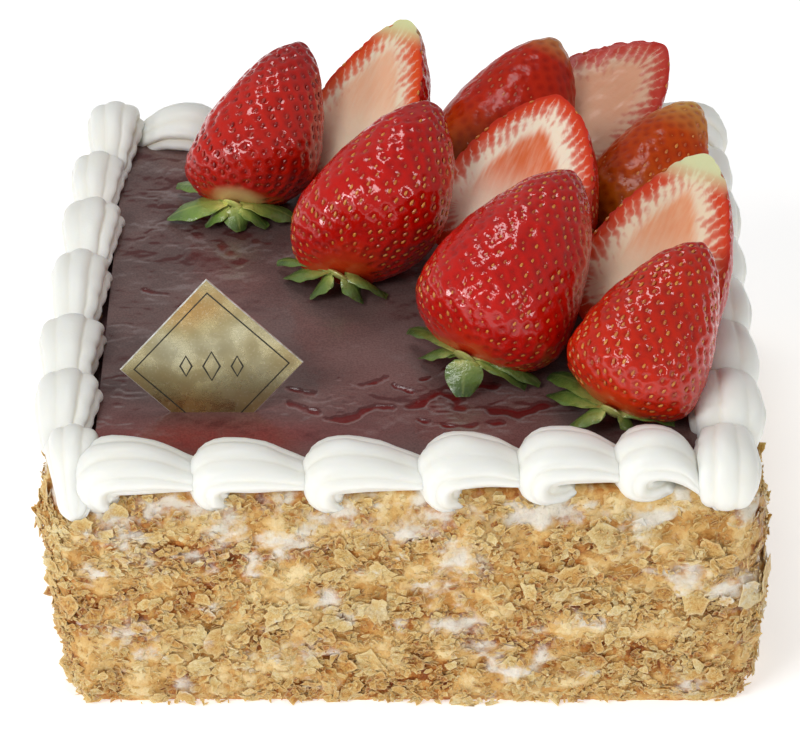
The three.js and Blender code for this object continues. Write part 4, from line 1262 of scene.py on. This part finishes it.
def ridged_section(angle, draw):
    """The drift of the ridges round a stroke, how far they stand out, and how deep the grooves are."""
    drift = 0.09 * np.sin(angle + draw.random() * 6) + 0.05 * np.sin(2 * angle + draw.random() * 6)
    wave = np.abs(np.cos(RIDGES * (angle + drift) / 2))
    uneven = 0.12 * np.sin(3 * angle + draw.random() * 6)
    strong = 0.78 - 0.40 * np.cos(angle - math.radians(SHALLOW_RIDGES)) + uneven
    return drift, (2.3 * wave**0.7 - 1.45) * strong, (1 - wave) ** 2 * strong


def build_stroke(row, index, pitch, fall, swing, finish, seed):
    """One stroke of cream: up and over about a level hinge line, then out into a tail."""
    stations, opening = stroke_stations()
    turn, run, reach, width = (stations[:, i : i + 1] for i in range(4))
    size = row["sizes"][index]
    travel = math.radians(row["travel"])
    along = np.array([math.cos(travel), math.sin(travel), 0.0])
    outward = np.array([along[1], -along[0], 0.0])
    hinge = along * row["stops"][index] + outward * (BORDER_LINE + row["shifts"][index])
    hinge[2] = HINGE_LEVEL + row["lifts"][index]
    angle = np.linspace(0, 2 * np.pi, CREAM_AROUND + 1)[None, :-1]
    draw = np.random.default_rng(seed)
    drift, ridge, groove = ridged_section(angle, draw)
    star = opening[:, None] * (1 + RIDGE_DEPTH * ridge)
    half = (reach * size - HINGE_GAP) / 2
    radial = np.maximum(LEAST_RADIAL, HINGE_GAP + half + half * star * np.cos(angle))
    aside = width * size * row["widths"][index] * star * np.sin(angle)
    end = (run / STROKE_END_RUN) ** 2
    bend = np.radians(turn)
    forward = run * pitch / TAIL_PITCH + radial * np.cos(bend)
    # the ridges end in small scallops along the side that faces the glaze
    scallop = np.abs(np.sin(np.pi * (forward + 1.5 * draw.random()) / SCALLOP + 2 * drift)) - 0.5
    ruffle = row["ruffle"] * scallop * np.clip(-np.sin(angle) - 0.2, 0, 1) * opening[:, None]
    sideways = aside + end * swing - ruffle
    rise = radial * np.sin(bend) - end * fall
    points = hinge + along * forward[..., None] + outward * sideways[..., None]
    points[..., 2] += rise
    open_here = opening[:, None, None]
    soft = np.stack([noise(points, 6.0, seed + k) for k in range(3)], -1)
    fine = 0.07 * layered(points, 1.6, 2, seed + 3)[..., None]
    points = inside_box(points + (0.30 * soft + fine * unit(points - hinge)) * open_here)
    parts = Parts()
    faces = sheet_faces(CREAM_ALONG, CREAM_AROUND, closed=True)
    parts.add(points, faces, groove=np.broadcast_to(groove, star.shape))
    name = f"{row['name']}_{index + 1}"
    add_piece("piped_" + name, parts, [finish], ["cream_" + name], weld=WELD)


def build_border(finish):
    seed = FIRST_STROKE_SEED
    for row in ROWS:
        ends = (*row["stops"][1:], BORDER_LINE)
        for index, (stop, following) in enumerate(zip(row["stops"], ends)):
            last = index == len(ends) - 1
            pitch = max(SHORTEST_PITCH, following - stop)
            build_stroke(row, index, pitch, row["fall"] * last, row["swing"] * last, finish, seed)
            seed += 10


# ---- the card -----------------------------------------------------------------------------
CARD_BEVEL = 0.18
CARD_CELLS = 40
CARD_LINE = {"inset": 2.0, "width": 0.28, "proud": 0.07}
LOZENGE = {"half_width": 2.0, "half_height": 3.4, "line": 0.416, "spacing": 5.4, "side_scale": 0.72}


def card_matrix():
    lean = Matrix.Rotation(math.radians(-CARD["lean"]), 4, "X")
    roll = Matrix.Rotation(math.radians(45 + CARD["roll"]), 4, "Y")
    return Matrix.Translation(CARD["centre"]) @ lean @ roll


def at_level(outline, level):
    """A flat outline's points, at a level through the card's thickness."""
    return np.insert(outline, 1, level, axis=1)


def build_card(foil, edge, ink):
    place = np.array(card_matrix())
    half = CARD["side"] / 2
    inner = half - CARD_BEVEL
    front = -CARD["thickness"] / 2
    parts = Parts()

    def add(points, faces, material):
        parts.add(points @ place[:3, :3].T + place[:3, 3], faces, material=material)

    def add_loops(loops, material):
        """Bands between closed outlines of four corners, each given with its level."""
        points = np.concatenate([at_level(outline, level) for outline, level in loops])
        add(points, sheet_faces(len(loops), 4, closed=True), material)

    line = np.linspace(-inner, inner, CARD_CELLS + 1)
    z, x = np.meshgrid(line, line, indexing="ij")
    buckle = 0.03 * layered(np.stack([x, z, z * 0], -1), 7.0, 3, seed=5)
    buckle *= smooth_step(0, 2, np.minimum(inner - np.abs(x), inner - np.abs(z)))
    add(np.stack([x, front + buckle, z], -1), sheet_faces(CARD_CELLS + 1, CARD_CELLS + 1), 0)
    # the bevel round the card, with its painted highlight
    bevel = ((inner, front), (half, front + CARD_BEVEL), (half, -front - CARD_BEVEL), (inner, -front))
    add_loops([(square(size), level) for size, level in bevel], 1)
    add(at_level(square(inner), -front), [(3, 2, 1, 0)], 0)
    inked = front - CARD_LINE["proud"]
    outer = half - CARD_LINE["inset"]
    add_loops([(square(outer), inked), (square(outer - CARD_LINE["width"]), inked)], 2)
    # three plain lozenges in a row, level across the card
    lean = math.radians(45 + CARD["roll"])
    turn = np.array([[math.cos(lean), -math.sin(lean)], [math.sin(lean), math.cos(lean)]])
    corners = np.array([(0, -1), (1, 0), (0, 1), (-1, 0)])
    for number in (-1, 0, 1):
        middle = np.array([number * LOZENGE["spacing"], 0.0])
        size = np.array([LOZENGE["half_width"], LOZENGE["half_height"]])
        size = size * (LOZENGE["side_scale"] if number else 1.0)
        rims = [(middle + corners * (size - shrink)) @ turn.T for shrink in (0.0, LOZENGE["line"])]
        add_loops([(rim, inked) for rim in rims], 2)
    add_piece("card_plate", parts, [foil, edge, ink], ["card"], crease=30)


# ---- stage --------------------------------------------------------------------------------
CAMERA = {
    "target": (-0.088, -7.112, 40.0), "distance": 977.694,
    "pitch": 33.709, "yaw": -0.118, "roll": -0.069, "lens": 199.49,
}
SENSOR_WIDTH = 36
CLIP_END = 20  # metres
FLOOR_HALF = 3000.0
FLOOR_LEVEL = -0.02
AIM = (0, 0, 40)  # where the lights point
LIGHTS = {  # place and size in millimetres, power in watts
    "key": {"place": (-620, -760, 900), "size": (480, 480), "power": 5.7},
    "right": {"place": (620, -700, 620), "size": (260, 260), "power": 1.6},
    "above": {"place": (-160, 330, 1000), "size": (300, 300), "power": 2.1},
    "low_left": {"place": (-800, -520, 270), "size": (190, 190), "power": 1.8},
}
SKY = ((0.0, 0.29), (0.6, 0.30), (0.95, 0.27))  # a direction's height, and the sky's brightness there


def build_floor():
    made = Finish("floor", Roughness=0.9, Emission_Color=(1.0, 1.0, 1.0, 1.0), Emission_Strength=0.46)
    cloud = made.noise(400.0, detail=2)
    made.to("Base Color", made.ramp(cloud, (0.3, (246, 246, 246)), (0.7, (250, 250, 250))))
    mesh = bpy.data.meshes.new("floor")
    corners = [(x * MM, y * MM, FLOOR_LEVEL * MM) for x, y in square(FLOOR_HALF)]
    mesh.from_pydata(corners, [], [(0, 1, 2, 3)])
    mesh.materials.append(made.material)
    floor = bpy.data.objects.new("floor", mesh)
    bpy.context.scene.collection.objects.link(floor)


def add_softbox(name, place, size, power):
    light = bpy.data.lights.new(name, "AREA")
    light.shape = "RECTANGLE"
    light.size = size[0] * MM
    light.size_y = size[1] * MM
    light.energy = power
    box = bpy.data.objects.new(name, light)
    box.location = Vector(place) * MM
    aim = Vector(AIM) - Vector(place)
    box.rotation_euler = aim.to_track_quat("-Z", "Y").to_euler()
    bpy.context.scene.collection.objects.link(box)


def build_light():
    world = bpy.data.worlds.new("studio")
    world.use_nodes = True
    tree = world.node_tree
    back = tree.nodes["Background"]
    coordinates = tree.nodes.new("ShaderNodeTexCoord")
    split = tree.nodes.new("ShaderNodeSeparateXYZ")
    band = tree.nodes.new("ShaderNodeValToRGB")
    tree.links.new(coordinates.outputs["Generated"], split.inputs[0])
    tree.links.new(split.outputs["Z"], band.inputs["Fac"])
    tree.links.new(band.outputs["Color"], back.inputs["Color"])
    band.color_ramp.elements.new(0.5)
    for element, (height, level) in zip(band.color_ramp.elements, SKY):
        element.position = height
        element.color = (level, level, level, 1.0)
    bpy.context.scene.world = world
    for name, light in LIGHTS.items():
        add_softbox(name, **light)


def build_camera():
    pitch, yaw, roll = (math.radians(CAMERA[key]) for key in ("pitch", "yaw", "roll"))
    forward = Vector((math.sin(yaw) * math.cos(pitch), math.cos(yaw) * math.cos(pitch), -math.sin(pitch)))
    level = Vector((math.cos(yaw), -math.sin(yaw), 0))
    upright = level.cross(forward)
    right = level * math.cos(roll) + upright * math.sin(roll)
    up = upright * math.cos(roll) - level * math.sin(roll)
    data = bpy.data.cameras.new("camera")
    data.sensor_width = SENSOR_WIDTH
    data.lens = CAMERA["lens"]
    data.clip_end = CLIP_END
    camera = bpy.data.objects.new("camera", data)
    turn = Matrix((right, up, -forward)).transposed().to_4x4()
    place = (Vector(CAMERA["target"]) - forward * CAMERA["distance"]) * MM
    camera.matrix_world = Matrix.Translation(place) @ turn
    bpy.context.scene.collection.objects.link(camera)
    bpy.context.scene.camera = camera


# ---- assembly -----------------------------------------------------------------------------
build_camera()
build_floor()
build_light()
bpy.context.scene.view_settings.view_transform = "Standard"

build_coat(coat_finish())
build_flakes()
build_glaze(glaze_finish())
for number, (berry_name, berry_form) in enumerate(BERRIES.items()):
    build_berry(berry_name, berry_form, number)
build_leaves()
build_border(cream_finish())
build_card(foil_finish(), card_edge_highlight_finish(), ink_finish())
